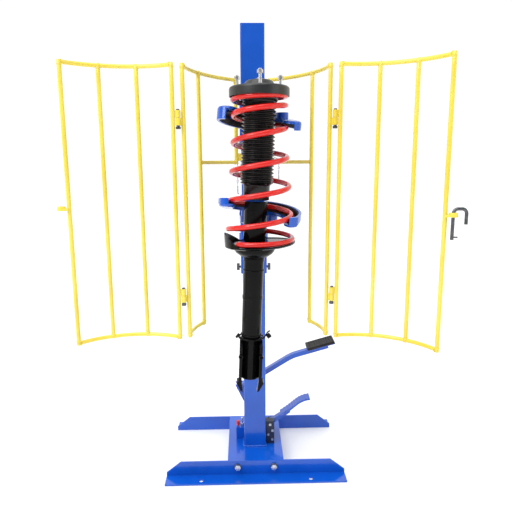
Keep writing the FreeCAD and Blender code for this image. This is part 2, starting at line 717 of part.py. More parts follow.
def jaw(side, level, start, end, r_in):
    """One jaw, its pad and its pin. Its crescent runs from start to the middle of its round tip at end."""
    upper = level == "upper"
    turn_base = 4 if upper else 1
    face_y = BRACKET_FACE_Y if upper else SLEEVE_FACE_Y
    arm_z = UPPER_ARM_Z if upper else LOWER_ARM_Z
    away = 1 if upper else -1
    tip_reach = math.degrees((JAW_OUTER_R - r_in) / (JAW_OUTER_R + r_in))
    far_end = end + math.copysign(tip_reach, end - start)
    ends = [coil_point(turn_base + (a + 90) / 360) for a in (start, (start + far_end) / 2, far_end)]
    normal = (ends[1] - ends[0]).cross(ends[2] - ends[0])
    normal.normalize()
    if normal.z < 0:
        normal = normal * -1
    centre = V(STRUT_X, STRUT_Y, 0)
    centre.z = ends[0].z - (normal.x * (centre.x - ends[0].x) + normal.y * (centre.y - ends[0].y)) / normal.z
    place = FreeCAD.Placement(centre, FreeCAD.Rotation(UP, normal))
    steps = 14
    directions = [start + (far_end - start) * k / steps for k in range(steps + 1)]
    along_coil = [coil_point(turn_base + (a + 90) / 360) for a in directions]
    bulge = max(away * normal.dot(p - centre) for p in along_coil)
    contact = WIRE_R + PAD_GAP + bulge
    back = contact + PAD_THICK + JAW_PLATE

    front = contact + PAD_THICK
    name = "left" if side < 0 else "right"
    lip_end = back - JAW_LIP[f"{level}_{name}"]
    crescent = jaw_crescent(r_in, start, end, away, front, back, lip_end)
    crescent.Placement = place
    inset = 3.0 if end > start else -3.0
    wall_r = JAW_OUTER_R - JAW_WALL
    flat_pad = jaw_sector(r_in + 2, wall_r, start + inset, end, *sorted((away * contact, away * front)))
    side_z = sorted((away * (lip_end + 2), away * front))
    side_pad = jaw_sector(wall_r - PAD_THICK, wall_r, start + inset, end, *side_z)
    pad = fused(flat_pad, side_pad)
    pad.Placement = place

    pivot = V(side * PIVOT_X, face_y - LUG_REACH + PIVOT_MARGIN, arm_z)
    seat_angle = math.radians(90 - side * JAW_TOE_ANGLE[level])
    seat_offset = V(JAW_SEAT_R * math.cos(seat_angle), JAW_SEAT_R * math.sin(seat_angle), 0)
    seat = V(STRUT_X, STRUT_Y, arm_z) + seat_offset
    along = seat - pivot
    length = along.Length
    bar = Part.makeBox(length, ARM_WIDTH, ARM_THICK, V(0, -ARM_WIDTH / 2, 0))
    bar.Placement = FreeCAD.Placement(pivot, FreeCAD.Rotation(V(1, 0, 0), along))
    rounding = ARM_WIDTH / 2
    hub = rod(pivot, pivot + V(0, 0, ARM_THICK), rounding)
    toe = rod(seat, seat + V(0, 0, ARM_THICK), rounding)
    plate_middle = V(0, 0, away * (back - JAW_PLATE / 2))
    plate_height = place.multVec(seat_offset + plate_middle).z
    post_low, post_high = sorted((arm_z + ARM_THICK / 2, plate_height))
    post = rod(V(seat.x, seat.y, post_low), V(seat.x, seat.y, post_high), rounding - 3)
    body = fused(crescent, bar, hub, toe, post)
    body = body.cut(rod(pivot - V(0, 0, 1), pivot + V(0, 0, ARM_THICK + 1), PIVOT_R + PIVOT_FIT))
    save(f"{level}_{name}_jaw", body)
    save(f"{level}_{name}_jaw_pad", pad.cut(body))


# ---------------------------------------------------------------- strut


def leaned(shape):
    """Strut pieces are drawn about Z and then leaned a little, as the jaws hold them."""
    shape.rotate(V(0, 0, STRUT_LEAN_Z), V(0, 1, 0), STRUT_LEAN)
    shape.translate(V(STRUT_X, STRUT_Y, 0))
    return shape


def upright(shape):
    shape.translate(V(STRUT_X, STRUT_Y, 0))
    return shape


def strut_spring():
    count = int((COIL_END - COIL_START) * COIL_STEPS)
    points = [coil_point(COIL_START + (COIL_END - COIL_START) * k / count) for k in range(count + 1)]
    curve = Part.BSplineCurve()
    curve.interpolate(points)
    return round_bar(Part.Wire(curve.toShape()), WIRE_R)


def strut_top_mount():
    """The pressed cup over the spring, with a raised bearing boss in the middle."""
    cup = turned(
        [
            (8, 1146), (MOUNT_R - 2, 1146), (MOUNT_R - 2, MOUNT_RIM_Z), (MOUNT_R, MOUNT_RIM_Z),
            (MOUNT_R, 1150), (MOUNT_R - 1, 1153), (MOUNT_R - 4, MOUNT_TOP_Z), (44, MOUNT_TOP_Z),
            (40, 1161), (33, 1170), (29, 1172), (8, 1172),
        ]
    )
    return upright(cup)


def mount_studs():
    """Three threaded studs with a nut near the top of each, and the piston rod's own nut in the middle."""
    solids = []
    for angle in (-90, 30, 150):
        x = STUD_CIRCLE_R * math.cos(math.radians(angle))
        y = STUD_CIRCLE_R * math.sin(math.radians(angle))
        stud = rod(V(x, y, MOUNT_TOP_Z - 3), V(x, y, MOUNT_TOP_Z + 34), STUD_R)
        nut = hexagon(V(x, y, MOUNT_TOP_Z + 23), UP, 13, 8)
        solids.append(upright(fused(stud, nut)).cut(strut_top_mount()))
    middle = fused(rod(V(0, 0, 1168), V(0, 0, 1178), 6), hexagon(V(0, 0, 1172), UP, 19, 4))
    solids.append(upright(middle).cut(strut_top_mount()))
    return solids


def dust_boot():
    """The bellows over the piston rod: a top cushion, even ridges, then a plain collar."""
    ridge, groove, pitch, count = 43.5, 38.5, 9.0, 22
    top = 1118.0
    points = [(14, 1144), (46, 1144), (46, top + 4), (ridge - 2, top)]
    for k in range(count):
        z = top - 2 - k * pitch
        points += [(ridge, z), (groove, z - pitch / 2)]
    low = top - 2 - count * pitch
    points += [(35, low), (34.5, low - 6), (34, low - 42), (14, low - 42)]
    return leaned(turned(points))


def damper_tube():
    """The damper body, with its two roll-formed rings."""
    points = [
        (0, 872), (29, 872), (30, 868), (30, 770), (26.5, 766), (26.5, 727), (28, 724), (28, 716),
        (26.5, 713), (26.5, 622), (27.6, 620), (27.6, 612), (26.5, 610), (26.5, 392), (24, 388), (0, 388),
    ]
    return leaned(turned(points))


def piston_rod():
    return leaned(rod(V(0, 0, 880), V(0, 0, 1145), 10))


def spring_seat():
    """The lower seat: a tilted pan with a wall on its left side, over a bowl round the damper."""
    pan = turned(
        [
            (20, SEAT_Z), (SEAT_R - 5, SEAT_Z), (SEAT_R - 2, SEAT_Z + 2), (SEAT_R, SEAT_Z + 2),
            (SEAT_R, SEAT_Z - 1), (SEAT_R - 4, SEAT_Z - 4), (20, SEAT_Z - 4),
        ]
    )
    wall = pipe(V(0, 0, SEAT_Z - 1), V(0, 0, SEAT_Z + SEAT_WALL_HEIGHT), SEAT_R, SEAT_R - 2)
    above = Part.makeBox(6 * SEAT_R, 4 * SEAT_R, 4 * SEAT_R, V(-2 * SEAT_R, -2 * SEAT_R, 0))
    above.rotate(V(0, 0, 0), V(0, 1, 0), SEAT_WALL_SLOPE)
    above.translate(V(-SEAT_R, 0, SEAT_Z + SEAT_WALL_HEIGHT))
    pan = fused(pan, wall.cut(above))
    pan.rotate(V(0, 0, SEAT_Z), V(0, 1, 0), SEAT_TILT)
    bowl = turned(
        [(20, SEAT_Z - 2), (56, SEAT_Z - 2), (56, 752), (53, 743), (48, 736), (41, 731), (39, 729), (20, 729)]
    )
    return fused(upright(pan), leaned(bowl)).cut(damper_tube())


def lower_bracket():
    """The clamp for the wheel carrier: a wrap round the tube, two long ears and flared feet."""
    tube_r = 26.7
    low, high = 391.0, 500.0
    front = -52.0
    wrap = pipe(V(0, 0, low), V(0, 0, high), tube_r + 4, tube_r)
    wrap = wrap.cut(block(V(-60, -60, low - 1), V(60, -12, high + 1)))
    solids = [wrap]
    for side in (-1, 1):
        x0, x1 = sorted((side * (tube_r + 4), side * (tube_r - 4)))
        outline = [(front, high - 8), (-12, high), (0, high), (0, low), (front, low)]
        edge = Part.makePolygon([V(x0, y, z) for y, z in outline + outline[:1]])
        ear = Part.Face(edge).extrude(V(x1 - x0, 0, 0))
        for z in (474, 420):
            ear = ear.cut(rod(V(x0 - 1, -40, z), V(x1 + 1, -40, z), 5.5))
        boss = pipe(V(side * tube_r, front - 5, 466), V(side * tube_r, front, 466), 6, 3)
        fin = [(side * x, z) for x, z in ((23, low + 4), (35, low + 4), (36, low), (25, 369), (19, 367))]
        ear = ear.cut(rod(V(0, 0, low - 1), V(0, 0, high + 1), tube_r))
        solids += [ear, boss, flat_outline(fin, front, -26)]
    return leaned(fused(*solids))


# ---------------------------------------------------------------- cage


def bar(point, bottom, top):
    return rod(V(point.x, point.y, bottom), V(point.x, point.y, top), BAR_R)


def arc_rail(points, z):
    """A rail bent through three points."""
    start, middle, end = (V(p.x, p.y, z) for p in points)
    circle = Part.Circle(start, middle, end)
    axis = (middle - start).cross(end - middle)
    axis.normalize()
    first = start - circle.Center
    last = end - circle.Center
    section = Part.Face(Part.Wire(Part.makeCircle(RAIL_R, start, axis.cross(first))))
    return section.revolve(circle.Center, axis, math.degrees(first.getAngle(last)))


def hinge_point(side):
    return V(CAGE_X + side * HINGE_X, HINGE_Y, 0)


def mirrored(point, side):
    return V(CAGE_X + side * point.x, point.y, 0)


def fixed_panel(name, side):
    """The fixed half of the cage: an outer tall window and a short inner one beside the mast."""
    outer = hinge_point(side) + V(-side * FIXED_BAR_IN, FIXED_BAR_BACK, 0)
    second = mirrored(SECOND_BAR, side)
    inner = V(side * INNER_BAR.x, INNER_BAR.y, 0)
    outer_bar = bar(outer, CAGE_BOTTOM - BAR_R, CAGE_TOP + BAR_R)
    inner_bar = bar(inner, CAGE_STEP_Z - BAR_R, CAGE_TOP + BAR_R)
    middle = (outer + second) * 0.5 + V(side * 8, 2, 0)
    top = arc_rail((outer, second, inner), CAGE_TOP).cut(outer_bar).cut(inner_bar)
    bottom = arc_rail((outer, middle, second), CAGE_BOTTOM).cut(outer_bar)
    second_bar = bar(second, CAGE_BOTTOM - BAR_R, CAGE_TOP).cut(top)
    bottom = bottom.cut(second_bar)
    half_way = (second + inner) * 0.5 + V(side * 7, 6, 0)
    step = arc_rail((second, half_way, inner), CAGE_STEP_Z).cut(second_bar).cut(inner_bar)
    save(f"{name}_panel_bars", outer_bar, second_bar, inner_bar)
    save(f"{name}_panel_rails", top, step, bottom)
    knuckles = []
    for z in HINGE_Z:
        top_z = z - KNUCKLE_GAP
        knuckles.append(hinge_leaf(hinge_point(side), outer, top_z - KNUCKLE_HEIGHT, top_z).cut(outer_bar))
    return knuckles


def hinge_pins(side):
    """The two pins that a door hangs on, each with a head below."""
    pins = []
    for z in HINGE_Z:
        foot_z = z - KNUCKLE_HEIGHT - 6
        centre = hinge_point(side)
        shaft = rod(centre + V(0, 0, foot_z), centre + V(0, 0, z + KNUCKLE_HEIGHT + 3), HINGE_PIN_R)
        head = rod(centre + V(0, 0, foot_z - 3), centre + V(0, 0, foot_z + 3), HINGE_PIN_R + 2)
        pins.append(fused(shaft, head))
    return pins


def hinge_leaf(axis_point, bar_point, bottom, top):
    """A knuckle round the pin and the leaf that joins it to a bar."""
    centre = V(axis_point.x, axis_point.y, bottom)
    height = top - bottom
    knuckle = Part.makeCylinder(KNUCKLE_R, height, centre)
    along = V(bar_point.x - axis_point.x, bar_point.y - axis_point.y, 0)
    leaf = Part.makeBox(along.Length, 4, height, V(0, -2, 0))
    leaf.Placement = FreeCAD.Placement(centre, FreeCAD.Rotation(V(1, 0, 0), along))
    body = fused(knuckle, leaf)
    return body.cut(Part.makeCylinder(HINGE_PIN_R + FIT, height, centre))


def door_point(side, share, extra=0.0):
    """A point of the door's curve in the rest pose. Share runs from the hinge bar to the free bar."""
    name = "left" if side < 0 else "right"
    angle = math.radians(DOOR_ANGLE[name])
    along = V(side * math.cos(angle), -math.sin(angle), 0)
    back = V(side * math.sin(angle), math.cos(angle), 0)
    width = DOOR_WIDTH - DOOR_BAR_OFFSET
    radius = (width ** 2 / 4 + DOOR_SAGITTA ** 2) / (2 * DOOR_SAGITTA)
    offset = (share - 0.5) * width
    depth = math.sqrt(max(radius ** 2 - offset ** 2, 0)) - (radius - DOOR_SAGITTA)
    return hinge_point(side) + along * (DOOR_BAR_OFFSET + share * width + extra) + back * depth


def door(name, side):
    """One curved door of four bars between two rails, with its hinge knuckles and latch eye."""
    posts = [door_point(side, share) for share in DOOR_BAR_SHARES]
    ends = [bar(p, CAGE_BOTTOM - BAR_R, CAGE_TOP + BAR_R) for p in (posts[0], posts[-1])]
    middle = door_point(side, 0.5)
    rails = []
    for z in (CAGE_BOTTOM, CAGE_TOP):
        rails.append(arc_rail((posts[0], middle, posts[-1]), z).cut(ends[0]).cut(ends[1]))
    bars = [ends[0]]
    for p in posts[1:-1]:
        bars.append(bar(p, CAGE_BOTTOM, CAGE_TOP).cut(rails[0]).cut(rails[1]))
    bars.append(ends[1])
    save(f"{name}_door_bars", *bars)
    save(f"{name}_door_rails", *rails)
    leaves = []
    for z in HINGE_Z:
        bottom_z = z + KNUCKLE_GAP
        leaves.append(hinge_leaf(hinge_point(side), posts[0], bottom_z, z + KNUCKLE_HEIGHT).cut(ends[0]))
    save(f"{name}_door_hinges", *leaves)
    save(f"{name}_latch_eye", latch_eye(name, side, ends[1]))


def eye_centre(side):
    return door_point(side, 1.0, DOOR_EYE - DOOR_WIDTH)


def latch_eye(name, side, free_bar):
    centre = eye_centre(side) + V(0, 0, EYE_Z[name])
    bar_side = door_point(side, 1.0) + V(0, 0, EYE_Z[name])
    along = bar_side - centre
    tongue = Part.makeBox(along.Length, 2 * EYE_R, EYE_THICK, V(0, -EYE_R, 0))
    tongue.Placement = FreeCAD.Placement(centre, FreeCAD.Rotation(V(1, 0, 0), along))
    disc = Part.makeCylinder(EYE_R, EYE_THICK, centre)
    hole = Part.makeCylinder(EYE_HOLE_R[name], 3 * EYE_THICK, centre - V(0, 0, EYE_THICK))
    return fused(disc, tongue).cut(hole).cut(free_bar)


def latch_pin():
    """The hooked pin in the right door's eye: a straight leg, a bend over and a short outer leg."""
    centre = eye_centre(1)
    bend = LATCH_BEND
    corner = bend * (1 - math.sqrt(0.5))

    def at(x, z):
        return centre + V(x, 0, z)

    wire = Part.Wire(
        [
            Part.makeLine(at(0, LATCH_BOTTOM), at(0, LATCH_TOP - bend)),
            Part.Arc(at(0, LATCH_TOP - bend), at(corner, LATCH_TOP - corner), at(bend, LATCH_TOP)).toShape(),
            Part.makeLine(at(bend, LATCH_TOP), at(LATCH_REACH - bend, LATCH_TOP)),
            Part.Arc(
                at(LATCH_REACH - bend, LATCH_TOP),
                at(LATCH_REACH - corner, LATCH_TOP - corner),
                at(LATCH_REACH, LATCH_TOP - bend),
            ).toShape(),
            Part.makeLine(at(LATCH_REACH, LATCH_TOP - bend), at(LATCH_REACH, LATCH_TOP - LATCH_DROP)),
        ]
    )
    nub = rod(at(-2, LATCH_BOTTOM + 6), at(13, LATCH_BOTTOM + 6), 1.8)
    return fused(round_bar(wire, LATCH_R), nub)


def cage_strap(z):
    """A flat strap bent round the column, with an arm out to each inner cage bar."""
    half = COLUMN_SIZE / 2 + 0.2
    outer = half + STRAP_WALL
    low = z - STRAP_HEIGHT / 2
    high = z + STRAP_HEIGHT / 2
    band = block(V(-outer, COLUMN_Y - outer, low), V(outer, COLUMN_Y + outer, high))
    arms = block(V(-INNER_BAR.x, INNER_BAR.y - 2, low), V(INNER_BAR.x, INNER_BAR.y + 2, high))
    body = fused(band, arms)
    body = body.cut(block(V(-half, COLUMN_Y - half, low - 1), V(half, COLUMN_Y + half, high + 1)))
    for side in (-1, 1):
        body = body.cut(bar(V(side * INNER_BAR.x, INNER_BAR.y, 0), low - 1, high + 1))
    return body


def lower_cage_strap():
    """The strap on the column, with a peg that the left chain hangs from."""
    start = V(-COLUMN_SIZE / 2 - STRAP_WALL + 1, LEFT_CHAIN[0].y, 990)
    peg = rod(start, start - V(PEG_REACH + 4, 0, 0), PEG_R)
    return fused(cage_strap(CAGE_STEP_Z + 14.5), peg)


# ---------------------------------------------------------------- chains


def link(centre, heading, quarter):
    """One oval chain link, its long way along heading, turned a quarter if asked."""
    half = LINK_WIDTH / 2 - LINK_WIRE
    straight = LINK_LENGTH / 2 - half - LINK_WIRE
    corners = [V(half, 0, -straight), V(half, 0, straight), V(-half, 0, straight), V(-half, 0, -straight)]
    wire = Part.Wire(
        [
            Part.makeLine(corners[0], corners[1]),
            Part.Arc(corners[1], V(0, 0, straight + half), corners[2]).toShape(),
            Part.makeLine(corners[2], corners[3]),
            Part.Arc(corners[3], V(0, 0, -straight - half), corners[0]).toShape(),
        ]
    )
    body = round_bar(wire, LINK_WIRE)
    if quarter:
        body.rotate(V(0, 0, 0), UP, 90)
    body.Placement = FreeCAD.Placement(centre, FreeCAD.Rotation(UP, heading)).multiply(body.Placement)
    return body


def chain(route):
    """Links along a route of points, with a snap hook hanging from the last one."""
    step = LINK_LENGTH - 2.6 * LINK_WIRE
    lengths = [(b - a).Length for a, b in zip(route, route[1:])]
    count = int(sum(lengths) / step)
    solids = []
    for k in range(count):
        rest = step * k
        leg = 0
        while rest > lengths[leg]:
            rest -= lengths[leg]
            leg += 1
        heading = route[leg + 1] - route[leg]
        heading.normalize()
        solids.append(link(route[leg] + heading * rest, heading * -1, k % 2 == 0))
        hook_top = route[leg] + heading * (rest + step)
    shank = rod(hook_top, hook_top - V(0, 0, 24), 1.6)
    solids.append(fused(shank, Part.makeSphere(3, hook_top - V(0, 0, 24))))
    return solids


def main():
    os.makedirs("parts", exist_ok=True)
    save("front_foot", foot(-1))
    save("rear_foot", foot(1))
    save("base_frame", base_frame())
    save("column", column())
    save("mast", mast())
    save("foot_bolts", *foot_bolts())
    save("mast_bolts", *mast_bolts())
    save("ram_cylinder", ram_cylinder())
    save("ram_rod", ram_rod())
    save("pump_block", pump_block())
    save("pump_bolts", *pump_bolts())
    save("pump_plunger", pump_plunger())
    save("valve_block", valve_block())
    save("valve_fitting", valve_fitting())
    save("valve_knob", valve_knob())
    save("lever_bracket", lever_bracket())
    save("pedal_pins", *pedal_pins())
    save("pump_lever", pump_lever())
    save("lever_pad", lever_pad())
    save("release_pedal", release_pedal())
    save("carriage_sleeve", carriage_sleeve())
    save("lift_pin", lift_pin())
    save("guide_screws", *guide_screws())
    save("upper_bracket", upper_bracket())
    save("upper_pivot_pins", *[pivot_pin(BRACKET_FACE_Y, UPPER_ARM_Z, side) for side in (-1, 1)])
    save("lower_pivot_pins", *[pivot_pin(SLEEVE_FACE_Y, LOWER_ARM_Z, side) for side in (-1, 1)])
    jaw(-1, "lower", 100, 200, 70)
    jaw(1, "lower", 80, -28, 70)
    jaw(-1, "upper", 100, 174, 54)
    jaw(1, "upper", 80, 8, 58)
    save("strut_spring", strut_spring())
    save("strut_top_mount", strut_top_mount())
    save("strut_mount_studs", *mount_studs())
    save("strut_dust_boot", dust_boot())
    save("strut_damper_tube", damper_tube())
    save("strut_spring_seat", spring_seat())
    save("strut_lower_bracket", lower_bracket())
    save("strut_piston_rod", piston_rod())
    knuckles = []
    pins = []
    for name, side in SIDES:
        knuckles += fixed_panel(name, side)
        pins += hinge_pins(side)
        door(name, side)
    save("panel_hinges", *knuckles)
    save("cage_hinge_pins", *pins)
    save("latch_pin", latch_pin())
    save("cage_straps", cage_strap(CAGE_TOP - 30), lower_cage_strap())
    save("safety_chains", *chain(LEFT_CHAIN), *chain(RIGHT_CHAIN))


main()
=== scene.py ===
import math

import bmesh
import bpy
from mathutils import Matrix, Vector, noise
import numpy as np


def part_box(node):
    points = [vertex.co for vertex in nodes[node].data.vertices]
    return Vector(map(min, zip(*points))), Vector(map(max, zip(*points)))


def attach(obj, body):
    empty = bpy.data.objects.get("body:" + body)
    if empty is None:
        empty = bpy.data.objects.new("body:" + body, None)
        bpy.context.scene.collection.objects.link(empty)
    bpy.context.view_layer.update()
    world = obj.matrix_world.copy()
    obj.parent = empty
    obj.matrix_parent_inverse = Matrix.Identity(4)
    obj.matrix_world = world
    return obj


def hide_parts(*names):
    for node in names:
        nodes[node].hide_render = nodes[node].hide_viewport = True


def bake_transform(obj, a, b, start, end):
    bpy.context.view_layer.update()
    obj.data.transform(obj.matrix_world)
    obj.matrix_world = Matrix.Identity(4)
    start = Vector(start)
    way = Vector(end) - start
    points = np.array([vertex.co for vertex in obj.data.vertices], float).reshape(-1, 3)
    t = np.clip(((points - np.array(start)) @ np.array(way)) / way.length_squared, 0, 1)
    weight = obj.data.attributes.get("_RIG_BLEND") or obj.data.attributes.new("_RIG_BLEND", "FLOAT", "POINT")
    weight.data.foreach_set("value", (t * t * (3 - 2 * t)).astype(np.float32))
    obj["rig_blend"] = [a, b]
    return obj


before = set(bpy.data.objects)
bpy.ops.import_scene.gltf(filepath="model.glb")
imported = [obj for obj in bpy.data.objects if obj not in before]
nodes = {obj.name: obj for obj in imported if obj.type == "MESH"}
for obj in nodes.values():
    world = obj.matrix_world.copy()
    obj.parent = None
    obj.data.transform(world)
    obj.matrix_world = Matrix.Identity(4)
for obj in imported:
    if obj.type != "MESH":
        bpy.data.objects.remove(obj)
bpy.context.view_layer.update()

UP = Vector((0, 0, 1))

# camera
CAMERA_PLACE = Vector((-0.0326, -1.6055, 0.9733))
CAMERA_YAW = math.radians(-1.457)
CAMERA_PITCH = math.radians(10.47)
CAMERA_ROLL = math.radians(-0.362)
CAMERA_LENS = 35.94

# lights
LIGHT_TARGET = Vector((0, -0.1, 0.7))
KEY_PLACE = Vector((-1.9, -2.2, 2.7))
KEY_SIZE = (1.5, 1.5)
KEY_POWER = 40
FILL_PLACE = Vector((2.4, -1.6, 1.9))
FILL_SIZE = (1.4, 1.8)
FILL_POWER = 9
SKY_DIRECTION = Vector((0.22, 0.30, -1))
SKY_STRENGTH = 1.75
SKY_SPREAD = math.radians(60)
BACKDROP_STRENGTH = 1.05
FRONT_TINT = (0.26, 0.27, 0.29, 1)
WHITE = (1.0, 1.0, 1.0, 1)

# tubes, welds and latch eyes of the cage
BAR_R = 0.0054
RAIL_R = 0.0053
WELD_SEAT = 0.72
FLARE = ((0.0016, 0.0), (0.0011, 0.0007), (0.0006, 0.0018), (0.0001, 0.0038))
FLARE_END = 0.0056
WELD_WOBBLE = 0.0005
WELD_SEED = 7
STEP_BOW = Vector((0.007, 0.006, 0))
FOOT_RAIL_BOW = Vector((0.008, 0.002, 0))
EYE_R = 0.011
BUSH_R = 0.0104
BUSH_HEIGHT = 0.0105
BUSH_EASE = 0.0012
LEFT_BORE = 0.0072
RIGHT_BORE = 0.0043

# spring and strut
LEAN = math.radians(2.4)
LEAN_Z = 1.110
WIRE_R = 0.00675
COIL_START = -0.12
COIL_END = 6.42
COIL_PITCH = 0.0733
COIL_END_PITCH = 0.0142
COIL_RAMP_IN = 0.84
COIL_RAMP_OUT = 2.28
COIL_RAMP_END = 6.2
COIL_R_TOP = 0.0665
COIL_R_BOTTOM = 0.085
LOWER_GRIP_TURN = 1.88
UPPER_GRIP_TURN = 4.20
COIL_STEPS = 260
TAPER_TURNS = 4.5

# dust boot
BOOT_TOP = 1.118
BOOT_NECK_R = 0.014
BOOT_HEAD = ((0.044, 1.144), (0.046, 1.1425), (0.046, 1.124), (0.0425, 1.120))
RIDGE_R = 0.0435
GROOVE_R = 0.0384
RIDGE_PITCH = 0.009
RIDGES = 22
RIDGE_STEPS = 10
BOOT_COLLAR = ((0.0400, 0.001), (0.0365, 0.003), (0.0346, 0.007), (0.0340, 0.041), (0.0332, 0.042))

# weld rings, clamp strap and hose tab of the damper
DAMPER_WELD_Z = (0.6905, 0.5125)
DAMPER_WELD_LINE_R = 0.0272
DAMPER_WELD_R = 0.0016
STRAP_Z = 0.5035
STRAP_LINE_R = 0.0330
STRAP_R = 0.0027
HOSE_ARM_R = 0.0019
HOSE_ARM = (
    (0.0320, -0.013, 0.503), (0.0345, -0.017, 0.507), (0.0385, -0.020, 0.516),
    (0.0430, -0.021, 0.525), (0.0490, -0.021, 0.529),
)
CLIPS = (
    ((0.0465, -0.021, 0.5150), -40, (0.011, 0.010, 0.011)),
    ((-0.0370, -0.008, 0.5085), 35, (0.006, 0.008, 0.013)),
)

# rubber of the foot lever
TREAD_ANGLE = math.atan2(0.030, 0.106)
TREAD_CAD_THICK = 0.009
TREAD_THICK = 0.0085
TREAD_SHORTER = 0.0005
TREAD_SUNK = 0.0004
TREAD_BORDER = 0.005
TREAD_ROUND = 0.0028
TREAD_RIB = 0.0022
TREAD_RIBS = 10

# welds of the stand, and the dark rings that paint the shade round the front bolt heads
FOOT_WELD_R = 0.0034
LUG_WELD_R = 0.0024
LUG_REACH = 0.044
LUG_HALF_WIDTH = 0.036
# profile of the dark rings that paint the shadow round the front bolt heads
SHADE_WASHER_PROFILE = (
    (0.0080, 0.0), (0.0103, 0.0), (0.0107, 0.0004), (0.0107, 0.0020), (0.0103, 0.0024), (0.0080, 0.0024),
)
THIN_SOLID = 0.003


# ---------------------------------------------------------------- camera and light


def axes(yaw, pitch, roll):
    """Right, up and backward directions of the camera."""
    level = math.cos(pitch)
    forward = Vector((-math.sin(yaw) * level, math.cos(yaw) * level, -math.sin(pitch)))
    right = Vector((math.cos(yaw), math.sin(yaw), 0))
    up = right.cross(forward)
    rolled_right = right * math.cos(roll) + up * math.sin(roll)
    rolled_up = up * math.cos(roll) - right * math.sin(roll)
    return rolled_right, rolled_up, -forward


def add_camera():
    data = bpy.data.cameras.new("camera")
    data.sensor_width = 36
    data.lens = CAMERA_LENS
    camera = bpy.data.objects.new("camera", data)
    bpy.context.scene.collection.objects.link(camera)
    turn = Matrix(axes(CAMERA_YAW, CAMERA_PITCH, CAMERA_ROLL)).transposed().to_4x4()
    camera.matrix_world = Matrix.Translation(CAMERA_PLACE) @ turn
    bpy.context.scene.camera = camera


def area_light(name, place, size, power):
    data = bpy.data.lights.new(name, "AREA")
    data.shape = "RECTANGLE"
    data.size, data.size_y = size
    data.energy = power
    light = bpy.data.objects.new(name, data)
    bpy.context.scene.collection.objects.link(light)
    light.location = place
    light.rotation_euler = (LIGHT_TARGET - place).to_track_quat("-Z", "Y").to_euler()
    light.visible_camera = False


def sun_light():
    data = bpy.data.lights.new("sky_panel", "SUN")
    data.energy = SKY_STRENGTH
    data.angle = SKY_SPREAD
    light = bpy.data.objects.new("sky_panel", data)
    bpy.context.scene.collection.objects.link(light)
    light.rotation_euler = SKY_DIRECTION.to_track_quat("-Z", "Y").to_euler()


def add_world():
    """A pale studio: a white backdrop, which lights the object less from the side that faces it."""
    world = bpy.data.worlds.new("studio")
    bpy.context.scene.world = world
    world.use_nodes = True
    tree = world.node_tree
    tree.nodes.clear()
    coords = tree.nodes.new("ShaderNodeTexCoord")
    split = tree.nodes.new("ShaderNodeSeparateXYZ")
    spread = tree.nodes.new("ShaderNodeMapRange")
    spread.inputs["From Min"].default_value = -0.9
    spread.inputs["From Max"].default_value = 0.25
    ramp = tree.nodes.new("ShaderNodeValToRGB")
    ramp.color_ramp.elements[0].color = FRONT_TINT
    ramp.color_ramp.elements[1].color = WHITE
    background = tree.nodes.new("ShaderNodeBackground")
    background.inputs["Strength"].default_value = BACKDROP_STRENGTH
    output = tree.nodes.new("ShaderNodeOutputWorld")
    tree.links.new(coords.outputs["Generated"], split.inputs[0])
    tree.links.new(split.outputs["Y"], spread.inputs["Value"])
    tree.links.new(spread.outputs[0], ramp.inputs[0])
    tree.links.new(ramp.outputs[0], background.inputs["Color"])
    backdrop = tree.nodes.new("ShaderNodeBackground")
    backdrop.inputs["Color"].default_value = WHITE
    backdrop.inputs["Strength"].default_value = BACKDROP_STRENGTH
    seen = tree.nodes.new("ShaderNodeLightPath")
    choose = tree.nodes.new("ShaderNodeMixShader")
    tree.links.new(seen.outputs["Is Camera Ray"], choose.inputs[0])
    tree.links.new(background.outputs[0], choose.inputs[1])
    tree.links.new(backdrop.outputs[0], choose.inputs[2])
    tree.links.new(choose.outputs[0], output.inputs[0])


# ---------------------------------------------------------------- materials


